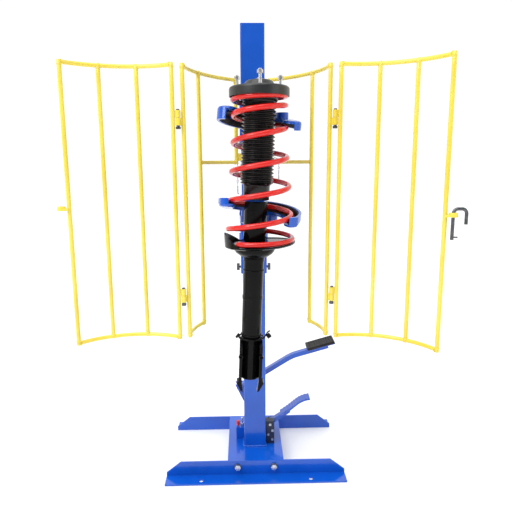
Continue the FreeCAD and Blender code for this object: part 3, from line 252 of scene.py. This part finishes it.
class Finish:
    """A material with one principled shader, and helpers for its texture nodes."""

    def __init__(self, name):
        self.material = bpy.data.materials.new(name)
        self.material.use_nodes = True
        self.tree = self.material.node_tree
        self.shader = self.tree.nodes["Principled BSDF"]
        self.coords = self.tree.nodes.new("ShaderNodeTexCoord").outputs["Object"]

    def set(self, **values):
        for key, value in values.items():
            self.shader.inputs[key.replace("_", " ")].default_value = value

    def noise(self, scale, detail=4.0, rough=0.55, stretch=(1, 1, 1)):
        mapping = self.tree.nodes.new("ShaderNodeMapping")
        mapping.inputs["Scale"].default_value = stretch
        self.tree.links.new(self.coords, mapping.inputs["Vector"])
        node = self.tree.nodes.new("ShaderNodeTexNoise")
        node.inputs["Scale"].default_value = scale
        node.inputs["Detail"].default_value = detail
        node.inputs["Roughness"].default_value = rough
        self.tree.links.new(mapping.outputs[0], node.inputs["Vector"])
        return node.outputs["Fac"]

    def cells(self, scale):
        node = self.tree.nodes.new("ShaderNodeTexVoronoi")
        node.inputs["Scale"].default_value = scale
        self.tree.links.new(self.coords, node.inputs["Vector"])
        return node.outputs["Distance"]

    def ramp(self, value, stops):
        node = self.tree.nodes.new("ShaderNodeValToRGB")
        ramp = node.color_ramp
        while len(ramp.elements) < len(stops):
            ramp.elements.new(0.5)
        for element, (place, colour) in zip(ramp.elements, stops):
            element.position = place
            element.color = (*colour, 1)
        self.tree.links.new(value, node.inputs[0])
        return node.outputs[0]

    def level(self, value, low, high):
        node = self.tree.nodes.new("ShaderNodeMapRange")
        node.inputs["From Min"].default_value = 0.3
        node.inputs["From Max"].default_value = 0.7
        node.inputs["To Min"].default_value = low
        node.inputs["To Max"].default_value = high
        self.tree.links.new(value, node.inputs["Value"])
        return node.outputs[0]

    def mix(self, share, a, b):
        node = self.tree.nodes.new("ShaderNodeMix")
        node.data_type = "RGBA"
        self.tree.links.new(share, node.inputs["Factor"])
        self.tree.links.new(a, node.inputs[6])
        self.tree.links.new(b, node.inputs[7])
        return node.outputs[2]

    def bump(self, *layers):
        """Layers are (value, strength, distance), each on top of the last."""
        last = None
        for value, strength, distance in layers:
            node = self.tree.nodes.new("ShaderNodeBump")
            node.inputs["Strength"].default_value = strength
            node.inputs["Distance"].default_value = distance
            self.tree.links.new(value, node.inputs["Height"])
            if last:
                self.tree.links.new(last, node.inputs["Normal"])
            last = node.outputs[0]
        self.tree.links.new(last, self.shader.inputs["Normal"])
        return last

    def colour(self, value):
        self.tree.links.new(value, self.shader.inputs["Base Color"])

    def roughness(self, value):
        self.tree.links.new(value, self.shader.inputs["Roughness"])


def gloss_paint(name, deep, main, light, rough=(0.16, 0.30), coat=0.55, ior=1.5):
    """Sprayed gloss paint: slight colour drift, orange peel, smudges and a few fine specks."""
    finish = Finish(name)
    drift = finish.ramp(finish.noise(7, 3), ((0.30, deep), (0.52, main), (0.78, light)))
    none, some = (0, 0, 0), (0.3, 0.3, 0.3)
    specks = finish.ramp(finish.noise(1500, 2), ((0.0, none), (0.70, none), (0.76, some)))
    dust = finish.ramp(finish.noise(40, 2), ((0.4, deep), (0.6, light)))
    finish.colour(finish.mix(specks, drift, dust))
    finish.roughness(finish.level(finish.noise(28, 7, 0.6), *rough))
    finish.bump((finish.noise(330, 2), 0.10, 0.0006), (finish.noise(38, 3), 0.08, 0.002))
    finish.set(Coat_Weight=coat, Coat_Roughness=0.05, IOR=ior)
    return finish.material


def plated_steel(name, dark, light, rough, grain=(1, 1, 1), metallic=1.0):
    """Bright plating or bare steel, with a cloudy spangle and fine grain."""
    finish = Finish(name)
    cloud = finish.ramp(finish.noise(90, 5, 0.7, grain), ((0.3, dark), (0.7, light)))
    stain = finish.ramp(finish.cells(140), ((0.0, dark), (0.7, light)))
    finish.colour(finish.mix(finish.noise(60, 3), cloud, stain))
    finish.roughness(finish.level(finish.noise(160, 6, 0.6, grain), *rough))
    finish.bump((finish.noise(1400, 3, 0.6, grain), 0.12, 0.0002))
    finish.set(Metallic=metallic)
    return finish.material


def cast_iron(name, dark, light):
    finish = Finish(name)
    finish.colour(finish.ramp(finish.noise(120, 6, 0.7), ((0.3, dark), (0.75, light))))
    finish.roughness(finish.level(finish.noise(200, 5), 0.35, 0.6))
    finish.bump((finish.noise(700, 6, 0.7), 0.5, 0.0008), (finish.cells(420), 0.15, 0.0006))
    finish.set(Coat_Weight=0.25, Coat_Roughness=0.3)
    return finish.material


def moulded_rubber(name, dark, light, rough):
    finish = Finish(name)
    finish.colour(finish.ramp(finish.noise(70, 6, 0.65), ((0.3, dark), (0.8, light))))
    finish.roughness(finish.level(finish.noise(140, 5), *rough))
    finish.bump((finish.noise(1300, 4), 0.25, 0.0003), (finish.noise(60, 3), 0.10, 0.0015))
    finish.set(IOR=1.35)
    return finish.material


def paper_floor(name):
    finish = Finish(name)
    dim, bright = (0.90, 0.90, 0.90), (0.93, 0.93, 0.93)
    finish.colour(finish.ramp(finish.noise(2.5, 3), ((0.3, dim), (0.7, bright))))
    finish.roughness(finish.level(finish.noise(9, 4), 0.5, 0.65))
    finish.bump((finish.noise(600, 3), 0.05, 0.0005))
    return finish.material


def make_finishes():
    made = {}
    made["blue"] = gloss_paint(
        "blue_gloss", (0.001, 0.076, 0.47), (0.002, 0.090, 0.54), (0.003, 0.102, 0.60),
        (0.15, 0.26), 0.5, 1.45,
    )
    made["yellow"] = gloss_paint(
        "yellow_gloss", (0.80, 0.60, 0.045), (0.85, 0.68, 0.065), (0.89, 0.74, 0.095), (0.20, 0.32), 0.5
    )
    made["red"] = gloss_paint(
        "red_epoxy", (0.56, 0.006, 0.003), (0.68, 0.009, 0.005), (0.76, 0.015, 0.008),
        (0.12, 0.20), 0.4, 1.42,
    )
    made["red_plastic"] = gloss_paint(
        "red_plastic", (0.50, 0.006, 0.010), (0.64, 0.012, 0.016), (0.72, 0.02, 0.02), (0.3, 0.42), 0.2
    )
    made["black"] = gloss_paint(
        "black_gloss", (0.002, 0.002, 0.002), (0.003, 0.003, 0.003), (0.005, 0.005, 0.005),
        (0.10, 0.20), 0.0, 1.22,
    )
    made["satin"] = gloss_paint(
        "black_satin", (0.008, 0.009, 0.009), (0.014, 0.015, 0.015), (0.022, 0.023, 0.023),
        (0.30, 0.42), 0.1,
    )
    made["zinc"] = plated_steel("zinc_plate", (0.50, 0.51, 0.52), (0.78, 0.79, 0.80), (0.18, 0.38))
    made["dark_steel"] = plated_steel(
        "dark_steel", (0.07, 0.075, 0.08), (0.16, 0.165, 0.17), (0.22, 0.42)
    )
    made["chrome"] = plated_steel(
        "ground_chrome", (0.72, 0.73, 0.74), (0.86, 0.87, 0.88), (0.06, 0.14), (1, 1, 9)
    )
    made["casting"] = cast_iron("painted_casting", (0.006, 0.010, 0.030), (0.016, 0.024, 0.060))
    made["rubber"] = moulded_rubber(
        "ribbed_rubber", (0.010, 0.009, 0.009), (0.026, 0.025, 0.024), (0.40, 0.58)
    )
    made["boot"] = gloss_paint(
        "bellows_rubber", (0.003, 0.003, 0.003), (0.004, 0.004, 0.004), (0.007, 0.007, 0.007),
        (0.20, 0.30), 0.0, 1.42,
    )
    return made


# ---------------------------------------------------------------- mesh helpers


def ring_frames(points, closed):
    """A tangent, a normal and a side direction at each point, turned as little as possible."""
    count = len(points)
    tangents = []
    for k in range(count):
        before = points[(k - 1) % count] if closed or k else points[0]
        after = points[(k + 1) % count] if closed or k < count - 1 else points[-1]
        tangents.append((after - before).normalized())
    seed = UP if abs(tangents[0].dot(UP)) < 0.9 else Vector((1, 0, 0))
    normal = (seed - tangents[0] * seed.dot(tangents[0])).normalized()
    frames = []
    for k in range(count):
        if k:
            normal = tangents[k - 1].rotation_difference(tangents[k]) @ normal
            normal = (normal - tangents[k] * normal.dot(tangents[k])).normalized()
        frames.append((tangents[k], normal, tangents[k].cross(normal)))
    return frames


def sweep(bm, points, radius, sides=18, closed=False, ripple=0.0, ripple_step=0.004):
    """A round bar along points, with eased ends. A ripple makes it a weld bead."""
    points = [Vector(p) for p in points]
    frames = ring_frames(points, closed)
    rings = []
    travelled = 0.0
    for k, (point, (tangent, normal, side)) in enumerate(zip(points, frames)):
        travelled += (point - points[k - 1]).length if k else 0.0
        here = radius * (1 + ripple * math.sin(2 * math.pi * travelled / ripple_step))
        if ripple:
            here *= 1 + ripple * noise.noise(point * 160)
        rings.append((point, here, tangent, normal, side))
    if not closed:
        ease = radius * 0.25
        first, last = rings[0], rings[-1]
        rings.insert(0, (first[0] - first[2] * ease, first[1] - ease, *first[2:]))
        rings.append((last[0] + last[2] * ease, last[1] - ease, *last[2:]))
    loops = []
    for point, here, tangent, normal, side in rings:
        loop = []
        for s in range(sides):
            angle = 2 * math.pi * s / sides
            outward = normal * math.cos(angle) + side * math.sin(angle)
            loop.append(bm.verts.new(point + outward * here))
        loops.append(loop)
    pairs = list(zip(loops, loops[1:])) + ([(loops[-1], loops[0])] if closed else [])
    for a, b in pairs:
        for s in range(sides):
            t = (s + 1) % sides
            bm.faces.new((a[s], a[t], b[t], b[s]))
    if not closed:
        bm.faces.new(list(reversed(loops[0])))
        bm.faces.new(loops[-1])


def lathe(bm, profile, place, sides=64):
    """Turns (radius, height) points about the local Z axis of place."""
    loops = []
    for radius, height in profile:
        if radius < 1e-6:
            loops.append([bm.verts.new(place @ Vector((0, 0, height)))])
            continue
        loop = []
        for s in range(sides):
            angle = 2 * math.pi * s / sides
            point = Vector((radius * math.cos(angle), radius * math.sin(angle), height))
            loop.append(bm.verts.new(place @ point))
        loops.append(loop)
    for a, b in zip(loops, loops[1:]):
        for s in range(sides):
            t = (s + 1) % sides
            if len(a) == 1:
                bm.faces.new((a[0], b[t], b[s]))
            elif len(b) == 1:
                bm.faces.new((a[s], a[t], b[0]))
            else:
                bm.faces.new((a[s], a[t], b[t], b[s]))


def facing(place, direction):
    """A matrix whose local Z points along direction from place."""
    turn = UP.rotation_difference(Vector(direction)).to_matrix().to_4x4()
    return Matrix.Translation(Vector(place)) @ turn


def piece(name, bm, material, body, replaces=(), sharp=45):
    mesh = bpy.data.meshes.new(name)
    bmesh.ops.recalc_face_normals(bm, faces=bm.faces)
    bm.to_mesh(mesh)
    bm.free()
    mesh.polygons.foreach_set("use_smooth", [True] * len(mesh.polygons))
    mesh.set_sharp_from_angle(angle=math.radians(sharp))
    mesh.materials.append(material)
    obj = bpy.data.objects.new(name, mesh)
    bpy.context.scene.collection.objects.link(obj)
    if body:
        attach(obj, body)
    if replaces:
        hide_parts(*replaces)
    return obj


def solids_of(node):
    """The boxes of a node's separate solids, from left to right, each as (low, high)."""
    bm = bmesh.new()
    bm.from_mesh(nodes[node].data)
    bmesh.ops.remove_doubles(bm, verts=bm.verts, dist=2e-5)
    seen = set()
    boxes = []
    for start in bm.verts:
        if start in seen:
            continue
        seen.add(start)
        queue = [start]
        group = []
        while queue:
            vert = queue.pop()
            group.append(vert.co.copy())
            for edge in vert.link_edges:
                other = edge.other_vert(vert)
                if other not in seen:
                    seen.add(other)
                    queue.append(other)
        low = Vector([min(p[i] for p in group) for i in range(3)])
        high = Vector([max(p[i] for p in group) for i in range(3)])
        boxes.append((low, high))
    bm.free()
    boxes.sort(key=lambda box: box[0].x + box[1].x)
    return boxes


def finish_node(name, material, bevel=0.0):
    """Gives a CAD node its material, and eases its edges."""
    obj = nodes[name]
    obj.data.materials.clear()
    obj.data.materials.append(material)
    if not bevel:
        return
    weld = obj.modifiers.new("weld", "WELD")
    weld.merge_threshold = 1e-5
    flat = obj.modifiers.new("flat", "DECIMATE")
    flat.decimate_type = "DISSOLVE"
    flat.angle_limit = math.radians(0.5)
    ease = obj.modifiers.new("ease", "BEVEL")
    ease.width = bevel
    ease.segments = 3
    ease.limit_method = "ANGLE"
    ease.angle_limit = math.radians(38)
    ease.use_clamp_overlap = True
    ease.miter_outer = "MITER_ARC"
    even = obj.modifiers.new("even", "WEIGHTED_NORMAL")
    even.weight = 100
    even.keep_sharp = False


# ---------------------------------------------------------------- cage


def arc_through(a, b, c, count=40):
    """Points on the level circle through three points."""
    ax, ay, bx, by, cx, cy = a.x, a.y, b.x, b.y, c.x, c.y
    d = 2 * (ax * (by - cy) + bx * (cy - ay) + cx * (ay - by))
    a2, b2, c2 = ax * ax + ay * ay, bx * bx + by * by, cx * cx + cy * cy
    ux = (a2 * (by - cy) + b2 * (cy - ay) + c2 * (ay - by)) / d
    uy = (a2 * (cx - bx) + b2 * (ax - cx) + c2 * (bx - ax)) / d
    centre = Vector((ux, uy, 0))
    first = Vector((ax, ay, 0)) - centre
    last = Vector((cx, cy, 0)) - centre
    turn = math.atan2(first.x * last.y - first.y * last.x, first.dot(last))
    points = []
    for k in range(count + 1):
        spin = Matrix.Rotation(turn * k / count, 3, "Z")
        point = centre + spin @ first
        points.append(Vector((point.x, point.y, a.z)))
    return points


def at_height(box, z):
    low, high = box
    return Vector(((low.x + high.x) / 2, (low.y + high.y) / 2, z))


def upright_bar(bm, box):
    low, high = box
    ease = BAR_R * 0.25
    steps = 24
    bottom, top = at_height(box, low.z + ease), at_height(box, high.z - ease)
    sweep(bm, [bottom.lerp(top, k / steps) for k in range(steps + 1)], BAR_R)


def tee_weld(bm, joint, direction, reach):
    """A small fillet of weld round a bar where it meets a rail."""
    flare = [(BAR_R + out, along) for out, along in FLARE]
    profile = [(BAR_R - 0.001, 0.0), *flare, (BAR_R - 0.0006, FLARE_END)]
    start = len(bm.verts)
    lathe(bm, profile, facing(joint + direction * reach, direction), 28)
    bm.verts.ensure_lookup_table()
    for vert in bm.verts[start:]:
        vert.co += noise.noise_vector(vert.co * 420) * WELD_WOBBLE


def door_frame(name):
    """One curved door: four bars between two bent rails, with its welds."""
    posts = solids_of(f"{name}_door_bars")
    top = max(box[1].z for box in posts) - BAR_R
    bottom = min(box[0].z for box in posts) + BAR_R
    bm = bmesh.new()
    for low, high in posts:
        foot = Vector((low.x, low.y, bottom - BAR_R))
        upright_bar(bm, (foot, Vector((high.x, high.y, top + BAR_R))))
    for z, inward in ((top, -UP), (bottom, UP)):
        places = [at_height(box, z) for box in posts]
        rail = arc_through(places[0], places[1], places[3])
        sweep(bm, rail, RAIL_R)
        for place in places:
            tee_weld(bm, place, inward, RAIL_R * WELD_SEAT)
        for place, along in ((places[0], rail[2] - rail[0]), (places[3], rail[-3] - rail[-1])):
            tee_weld(bm, place, along.normalized(), BAR_R * WELD_SEAT)
    replaced = [f"{name}_door_bars", f"{name}_door_rails"]
    piece(f"{name}_door_frame", bm, finishes["yellow"], f"{name}_door", replaced)


def panel_frame(name, side):
    """The fixed half of the cage on one side of the column."""
    bars = solids_of(f"{name}_panel_bars")
    if side > 0:
        bars.reverse()
    outer, second, inner = bars
    top = outer[1].z - BAR_R
    bottom = outer[0].z + BAR_R
    step = inner[0].z + BAR_R
    bm = bmesh.new()
    for low, high in bars:
        upright_bar(bm, (low, Vector((high.x, high.y, top + BAR_R))))
    bow = Vector((side * STEP_BOW.x, STEP_BOW.y, 0))
    foot_bow = Vector((side * FOOT_RAIL_BOW.x, FOOT_RAIL_BOW.y, 0))
    rails = (
        (at_height(outer, top), at_height(second, top), at_height(inner, top)),
        (
            at_height(second, step),
            (at_height(second, step) + at_height(inner, step)) / 2 + bow,
            at_height(inner, step),
        ),
        (
            at_height(outer, bottom),
            (at_height(outer, bottom) + at_height(second, bottom)) / 2 + foot_bow,
            at_height(second, bottom),
        ),
    )
    for ends in rails:
        rail = arc_through(*ends)
        sweep(bm, rail, RAIL_R)
        for place, along in ((rail[0], rail[2] - rail[0]), (rail[-1], rail[-3] - rail[-1])):
            tee_weld(bm, place, along.normalized(), BAR_R * WELD_SEAT)
    for box, z, way in ((outer, top, -UP), (second, top, -UP), (inner, top, -UP), (outer, bottom, UP)):
        tee_weld(bm, at_height(box, z), way, RAIL_R * WELD_SEAT)
    tee_weld(bm, at_height(second, bottom), UP, RAIL_R * WELD_SEAT)
    tee_weld(bm, at_height(inner, step), UP, RAIL_R * WELD_SEAT)
    replaced = [f"{name}_panel_bars", f"{name}_panel_rails"]
    piece(f"{name}_panel_frame", bm, finishes["yellow"], "stand", replaced)


# ---------------------------------------------------------------- strut


def smooth(t):
    t = min(max(t, 0), 1)
    return t * t * (3 - 2 * t)


def coil_line():
    """Points along the spring's wire, from its lower end to its upper end."""
    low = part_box("strut_spring")[0]
    mount_low, mount_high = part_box("strut_top_mount")
    axis = (mount_low + mount_high) / 2
    step = (COIL_END - COIL_START) / COIL_STEPS
    height = low.z + WIRE_R
    points = []
    for k in range(COIL_STEPS + 1):
        turn = COIL_START + step * k
        if k:
            middle = turn - step / 2
            opening = smooth(middle / COIL_RAMP_IN) * smooth((COIL_RAMP_END - middle) / COIL_RAMP_OUT)
            height += (COIL_END_PITCH + (COIL_PITCH - COIL_END_PITCH) * opening) * step
        radius = COIL_R_BOTTOM + (COIL_R_TOP - COIL_R_BOTTOM) * smooth(turn / TAPER_TURNS)
        angle = math.radians(360 * turn - 90)
        x = axis.x + radius * math.cos(angle)
        y = axis.y + radius * math.sin(angle)
        points.append(Vector((x, y, height)))
    return points


def strut_place():
    """The leaning axis of the damper."""
    low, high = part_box("strut_top_mount")
    foot = Matrix.Translation(((low.x + high.x) / 2, (low.y + high.y) / 2, LEAN_Z))
    return foot @ Matrix.Rotation(LEAN, 4, "Y") @ Matrix.Translation((0, 0, -LEAN_Z))


def add_spring():
    """
    The coil. Below the lower jaws it rides up with them, above the upper jaws it stays,
    and the coils between close up evenly, each ring of the wire keeping its round section.
    """
    sides = 24
    bm = bmesh.new()
    sweep(bm, coil_line(), WIRE_R, sides)
    spring = piece("spring_coil", bm, finishes["red"], None, ["strut_spring"])
    low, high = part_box("strut_spring")
    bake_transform(spring, "stand", "lower_carriage", (0, 0, high.z), (0, 0, low.z))
    shares = spring.data.attributes["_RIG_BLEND"].data
    rings = len(shares) // sides
    for k in range(rings):
        turn = COIL_START + (COIL_END - COIL_START) * min(max(k - 1, 0), rings - 3) / (rings - 3)
        share = min(max((UPPER_GRIP_TURN - turn) / (UPPER_GRIP_TURN - LOWER_GRIP_TURN), 0), 1)
        for s in range(sides):
            shares[k * sides + s].value = share


def add_boot():
    """The bellows: soft ridges, then a plain collar."""
    profile = [(BOOT_NECK_R, BOOT_HEAD[0][1]), *BOOT_HEAD, (0.041, BOOT_TOP - 0.0006)]
    first = BOOT_TOP - 0.002
    for k in range(RIDGES):
        for s in range(RIDGE_STEPS):
            phase = s / RIDGE_STEPS
            wave = 0.5 + 0.5 * math.cos(2 * math.pi * phase)
            profile.append((GROOVE_R + (RIDGE_R - GROOVE_R) * wave, first - (k + phase) * RIDGE_PITCH))
    low = first - RIDGES * RIDGE_PITCH
    profile += [(radius, low - drop) for radius, drop in BOOT_COLLAR]
    profile.append((BOOT_NECK_R, low - BOOT_COLLAR[-1][1]))
    bm = bmesh.new()
    lathe(bm, profile, strut_place(), 96)
    piece("boot_bellows", bm, finishes["boot"], "stand", ["strut_dust_boot"], 60)


def ring_about(place, radius, height, count=72):
    """Points round the local Z axis of place."""
    ring = []
    for k in range(count):
        angle = 2 * math.pi * k / count
        ring.append(place @ Vector((radius * math.cos(angle), radius * math.sin(angle), height)))
    return ring


def add_strut_details():
    """The weld rings of the damper, the strap of its clamp, and the arm and clips of the brake hose."""
    place = strut_place()
    bm = bmesh.new()
    for z in DAMPER_WELD_Z:
        sweep(bm, ring_about(place, DAMPER_WELD_LINE_R, z), DAMPER_WELD_R, 10, True, 0.12)
    sweep(bm, ring_about(place, STRAP_LINE_R, STRAP_Z), STRAP_R, 12, True)
    sweep(bm, [place @ Vector(p) for p in HOSE_ARM], HOSE_ARM_R, 12)
    for centre, tilt, size in CLIPS:
        corners = Matrix.Translation(centre) @ Matrix.Rotation(math.radians(tilt), 4, "Y")
        box_with_eased_edges(bm, place @ corners, size, 0.0010)
    piece("strut_hose_tab", bm, finishes["black"], "stand")


def box_with_eased_edges(bm, place, size, ease):
    """A block whose edges and corners are rounded."""
    start = bmesh.ops.create_cube(bm, size=1.0)
    verts = start["verts"]
    bmesh.ops.scale(bm, vec=Vector(size), verts=verts)
    edges = list({edge for vert in verts for edge in vert.link_edges})
    made = bmesh.ops.bevel(bm, geom=edges, offset=ease, segments=3, profile=0.5, affect="EDGES")
    everything = set(made["verts"]) | {v for v in verts if v.is_valid}
    bmesh.ops.transform(bm, matrix=place, verts=list(everything))


# ---------------------------------------------------------------- pads and welds


def add_tread_pad():
    """The rubber pad of the foot lever: a rounded slab with cross ribs inside a border."""
    low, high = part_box("lever_pad")
    lean, run = math.sin(TREAD_ANGLE), math.cos(TREAD_ANGLE)
    along = Vector((run, 0, lean))
    rise = Vector((-lean, 0, run))
    wide = Vector((0, 1, 0))
    length = (high.x - low.x - TREAD_CAD_THICK * lean) / run - TREAD_SHORTER
    width = high.y - low.y
    centre = (low + high) / 2 - rise * (TREAD_THICK / 2 + TREAD_SUNK)
    cols, rows = 150, 44

    def height(u, v):
        edge = min(u, length - u, v, width - v)
        short = TREAD_ROUND - min(edge, TREAD_ROUND)
        drop = TREAD_ROUND - math.sqrt(max(TREAD_ROUND ** 2 - short ** 2, 0))
        inside = smooth((edge - TREAD_BORDER) / 0.0012)
        place = (u - TREAD_BORDER) / (length - 2 * TREAD_BORDER)
        wave = smooth(0.5 + 1.6 * math.sin(2 * math.pi * TREAD_RIBS * place))
        return TREAD_THICK - drop - inside * (TREAD_RIB * (1 - wave))

    bm = bmesh.new()

    def spot(u, v, h):
        return bm.verts.new(centre + along * (u - length / 2) + wide * (v - width / 2) + rise * h)

    def even(k, count, span):
        """Rows crowd towards the edges, so that the rounding is smooth."""
        t = k / count
        return span * (0.5 - 0.5 * math.cos(math.pi * t)) * 0.25 + span * t * 0.75

    grid = []
    for i in range(cols + 1):
        u = even(i, cols, length)
        across = [even(j, rows, width) for j in range(rows + 1)]
        grid.append([spot(u, v, height(u, v)) for v in across])
    for i in range(cols):
        for j in range(rows):
            bm.faces.new((grid[i][j], grid[i + 1][j], grid[i + 1][j + 1], grid[i][j + 1]))
    rim = [grid[i][0] for i in range(cols + 1)] + [grid[cols][j] for j in range(1, rows + 1)]
    rim += [grid[i][rows] for i in range(cols - 1, -1, -1)]
    rim += [grid[0][j] for j in range(rows - 1, 0, -1)]
    drop = [bm.verts.new(vert.co - rise * ((vert.co - centre).dot(rise))) for vert in rim]
    count = len(rim)
    for k in range(count):
        bm.faces.new((rim[k], drop[k], drop[(k + 1) % count], rim[(k + 1) % count]))
    bm.faces.new(list(reversed(drop)))
    piece("tread_rubber", bm, finishes["rubber"], "foot_lever", ["lever_pad"], 50)


def soften(node, name, body, ease):
    """A rubber liner made over the jaw's own pad: rounded edges and a slightly uneven face."""
    bm = bmesh.new()
    bm.from_mesh(nodes[node].data)
    bmesh.ops.remove_doubles(bm, verts=bm.verts, dist=2e-5)
    bmesh.ops.dissolve_limit(bm, angle_limit=math.radians(1), verts=bm.verts, edges=bm.edges)
    sharp = [e for e in bm.edges if len(e.link_faces) == 2 and e.calc_face_angle() > math.radians(40)]
    bmesh.ops.bevel(
        bm, geom=sharp, offset=ease, segments=3, profile=0.5, affect="EDGES", clamp_overlap=True
    )
    piece(name, bm, finishes["rubber"], body, [node], 35)


def add_shade_washers():
    """Painted shade: a dark ring over the plated washer under each bolt head of the front foot, standing in
    for the shadow round the head.
    """
    ring = [*SHADE_WASHER_PROFILE, SHADE_WASHER_PROFILE[0]]
    bm = bmesh.new()
    for low, high in solids_of("foot_bolts"):
        if high.y < 0 and high.y - low.y < THIN_SOLID:
            place = Vector(((low.x + high.x) / 2, high.y, (low.z + high.z) / 2))
            lathe(bm, ring, facing(place, (0, -1, 0)), 40)
    piece("bolt_shade_washers", bm, finishes["dark_steel"], "stand")


def eye_bush(name, side, bore):
    """A short bush welded round the hole of a door's latch eye."""
    mesh = nodes[f"{name}_latch_eye"].data
    tip = max((v.co for v in mesh.vertices), key=lambda point: side * point.x)
    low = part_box(f"{name}_latch_eye")[0]
    profile = [
        (bore, 0.0), (BUSH_R - BUSH_EASE, 0.0), (BUSH_R, BUSH_EASE), (BUSH_R, BUSH_HEIGHT - BUSH_EASE),
        (BUSH_R - BUSH_EASE, BUSH_HEIGHT), (bore, BUSH_HEIGHT), (bore, 0.0),
    ]
    centre = Vector((tip.x - side * EYE_R, tip.y, low.z))
    bm = bmesh.new()
    lathe(bm, profile, Matrix.Translation(centre), 40)
    piece(f"{name}_eye_bush", bm, finishes["yellow"], f"{name}_door")


def weld_line(bm, points, radius=0.0028, closed=False):
    """A rippled bead of weld along straight runs between points."""
    dense = []
    runs = list(zip(points, points[1:])) + ([(points[-1], points[0])] if closed else [])
    for a, b in runs:
        a, b = Vector(a), Vector(b)
        count = max(2, int((b - a).length / 0.001))
        dense += [a.lerp(b, k / count) for k in range(count)]
    if not closed:
        dense.append(Vector(points[-1]))
    sweep(bm, dense, radius, 12, closed, 0.10, 0.0045)


def square_ring(centre_y, half, z, corner=0.005):
    """The outline of a square tube with rounded corners, at one height."""
    points = []
    for quarter in range(4):
        for k in range(5):
            angle = math.radians(90 * quarter + 22.5 * k)
            cx = (half - corner) * (1 if quarter in (0, 3) else -1)
            cy = (half - corner) * (1 if quarter in (0, 1) else -1)
            y = centre_y + cy + corner * math.sin(angle)
            points.append(Vector((cx + corner * math.cos(angle), y, z)))
    return points


def add_welds():
    low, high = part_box("column")
    middle_y = (low.y + high.y) / 2
    half = (high.x - low.x) / 2
    bm = bmesh.new()
    weld_line(bm, square_ring(middle_y, half + 0.0012, low.z + 0.0012), FOOT_WELD_R, True)
    piece("column_foot_weld", bm, finishes["blue"], "stand")

    for node, body, name in (
        ("carriage_sleeve", "lower_carriage", "sleeve_lug_welds"),
        ("upper_bracket", "stand", "bracket_lug_welds"),
    ):
        bm = bmesh.new()
        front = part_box(node)[0].y + LUG_REACH
        for z in lug_heights(node, front):
            ends = [(side * LUG_HALF_WIDTH, front - 0.0008, z) for side in (-1, 1)]
            weld_line(bm, ends, LUG_WELD_R)
        piece(name, bm, finishes["blue"], body)


def lug_heights(node, front):
    """The heights of the outer faces of a sleeve's lug plates."""
    levels = sorted({round(v.co.z, 4) for v in nodes[node].data.vertices if v.co.y < front - 0.02})
    return (levels[0], levels[-1])


# ---------------------------------------------------------------- scene


def add_floor():
    bm = bmesh.new()
    half = 14.0
    count = 28
    grid = []
    for i in range(count + 1):
        grid.append([])
        for j in range(count + 1):
            x, y = half * (2 * i / count - 1), half * (2 * j / count - 1)
            grid[i].append(bm.verts.new((x, y, 0)))
    for i in range(count):
        for j in range(count):
            bm.faces.new((grid[i][j], grid[i + 1][j], grid[i + 1][j + 1], grid[i][j + 1]))
    mesh = bpy.data.meshes.new("floor")
    bm.to_mesh(mesh)
    bm.free()
    mesh.materials.append(paper_floor("floor_paper"))
    floor = bpy.data.objects.new("floor", mesh)
    bpy.context.scene.collection.objects.link(floor)


def finish_cad():
    """Materials and eased edges of the CAD nodes that stay."""
    for name, ease in (
        ("front_foot", 0.0009),
        ("rear_foot", 0.0009),
        ("base_frame", 0.0016),
        ("column", 0.0006),
        ("mast", 0.0008),
        ("carriage_sleeve", 0.0008),
        ("upper_bracket", 0.0008),
        ("lower_left_jaw", 0.0012),
        ("lower_right_jaw", 0.0012),
        ("upper_left_jaw", 0.0012),
        ("upper_right_jaw", 0.0012),
        ("pump_lever", 0.0012),
        ("release_pedal", 0.0006),
        ("lever_bracket", 0.0006),
        ("valve_block", 0.0012),
        ("pedal_pins", 0.0004),
        ("lift_pin", 0.0004),
    ):
        finish_node(name, finishes["blue"], ease)
    for name in (
        "panel_hinges", "cage_straps", "left_door_hinges", "left_latch_eye",
        "right_door_hinges", "right_latch_eye",
    ):
        finish_node(name, finishes["yellow"], 0.0007)
    for name in (
        "foot_bolts", "mast_bolts", "pump_bolts", "valve_fitting",
        "upper_pivot_pins", "lower_pivot_pins",
    ):
        finish_node(name, finishes["zinc"], 0.0004)
    finish_node("safety_chains", finishes["zinc"])
    finish_node("strut_mount_studs", finishes["zinc"], 0.0003)
    finish_node("guide_screws", finishes["dark_steel"], 0.0004)
    finish_node("cage_hinge_pins", finishes["dark_steel"], 0.0004)
    finish_node("latch_pin", finishes["dark_steel"], 0.0006)
    for name in ("ram_rod", "pump_plunger", "strut_piston_rod"):
        finish_node(name, finishes["chrome"], 0.0004)
    finish_node("pump_block", finishes["casting"], 0.0016)
    finish_node("ram_cylinder", finishes["casting"], 0.0010)
    for name in ("strut_damper_tube", "strut_spring_seat", "strut_lower_bracket"):
        finish_node(name, finishes["black"], 0.0007)
    finish_node("strut_top_mount", finishes["satin"], 0.0009)
    finish_node("valve_knob", finishes["red_plastic"], 0.0005)


# unseeded, noise_vector draws from the clock and the welds differ from run to run
noise.seed_set(WELD_SEED)
add_camera()
finishes = make_finishes()
finish_cad()
for side_name, side_sign in (("left", -1), ("right", 1)):
    door_frame(side_name)
    panel_frame(side_name, side_sign)
add_spring()
add_boot()
add_strut_details()
add_tread_pad()
for level in ("lower", "upper"):
    for side_name in ("left", "right"):
        jaw = f"{level}_{side_name}"
        soften(f"{jaw}_jaw_pad", f"{jaw}_liner", f"{jaw}_jaw_arm", 0.0008)
# dark rings under the front bolt heads, as painted shade
add_shade_washers()
eye_bush("left", -1, LEFT_BORE)
eye_bush("right", 1, RIGHT_BORE)
add_welds()
add_floor()
add_world()
area_light("key", KEY_PLACE, KEY_SIZE, KEY_POWER)
area_light("fill", FILL_PLACE, FILL_SIZE, FILL_POWER)
sun_light()
bpy.context.scene.view_settings.view_transform = "Standard"
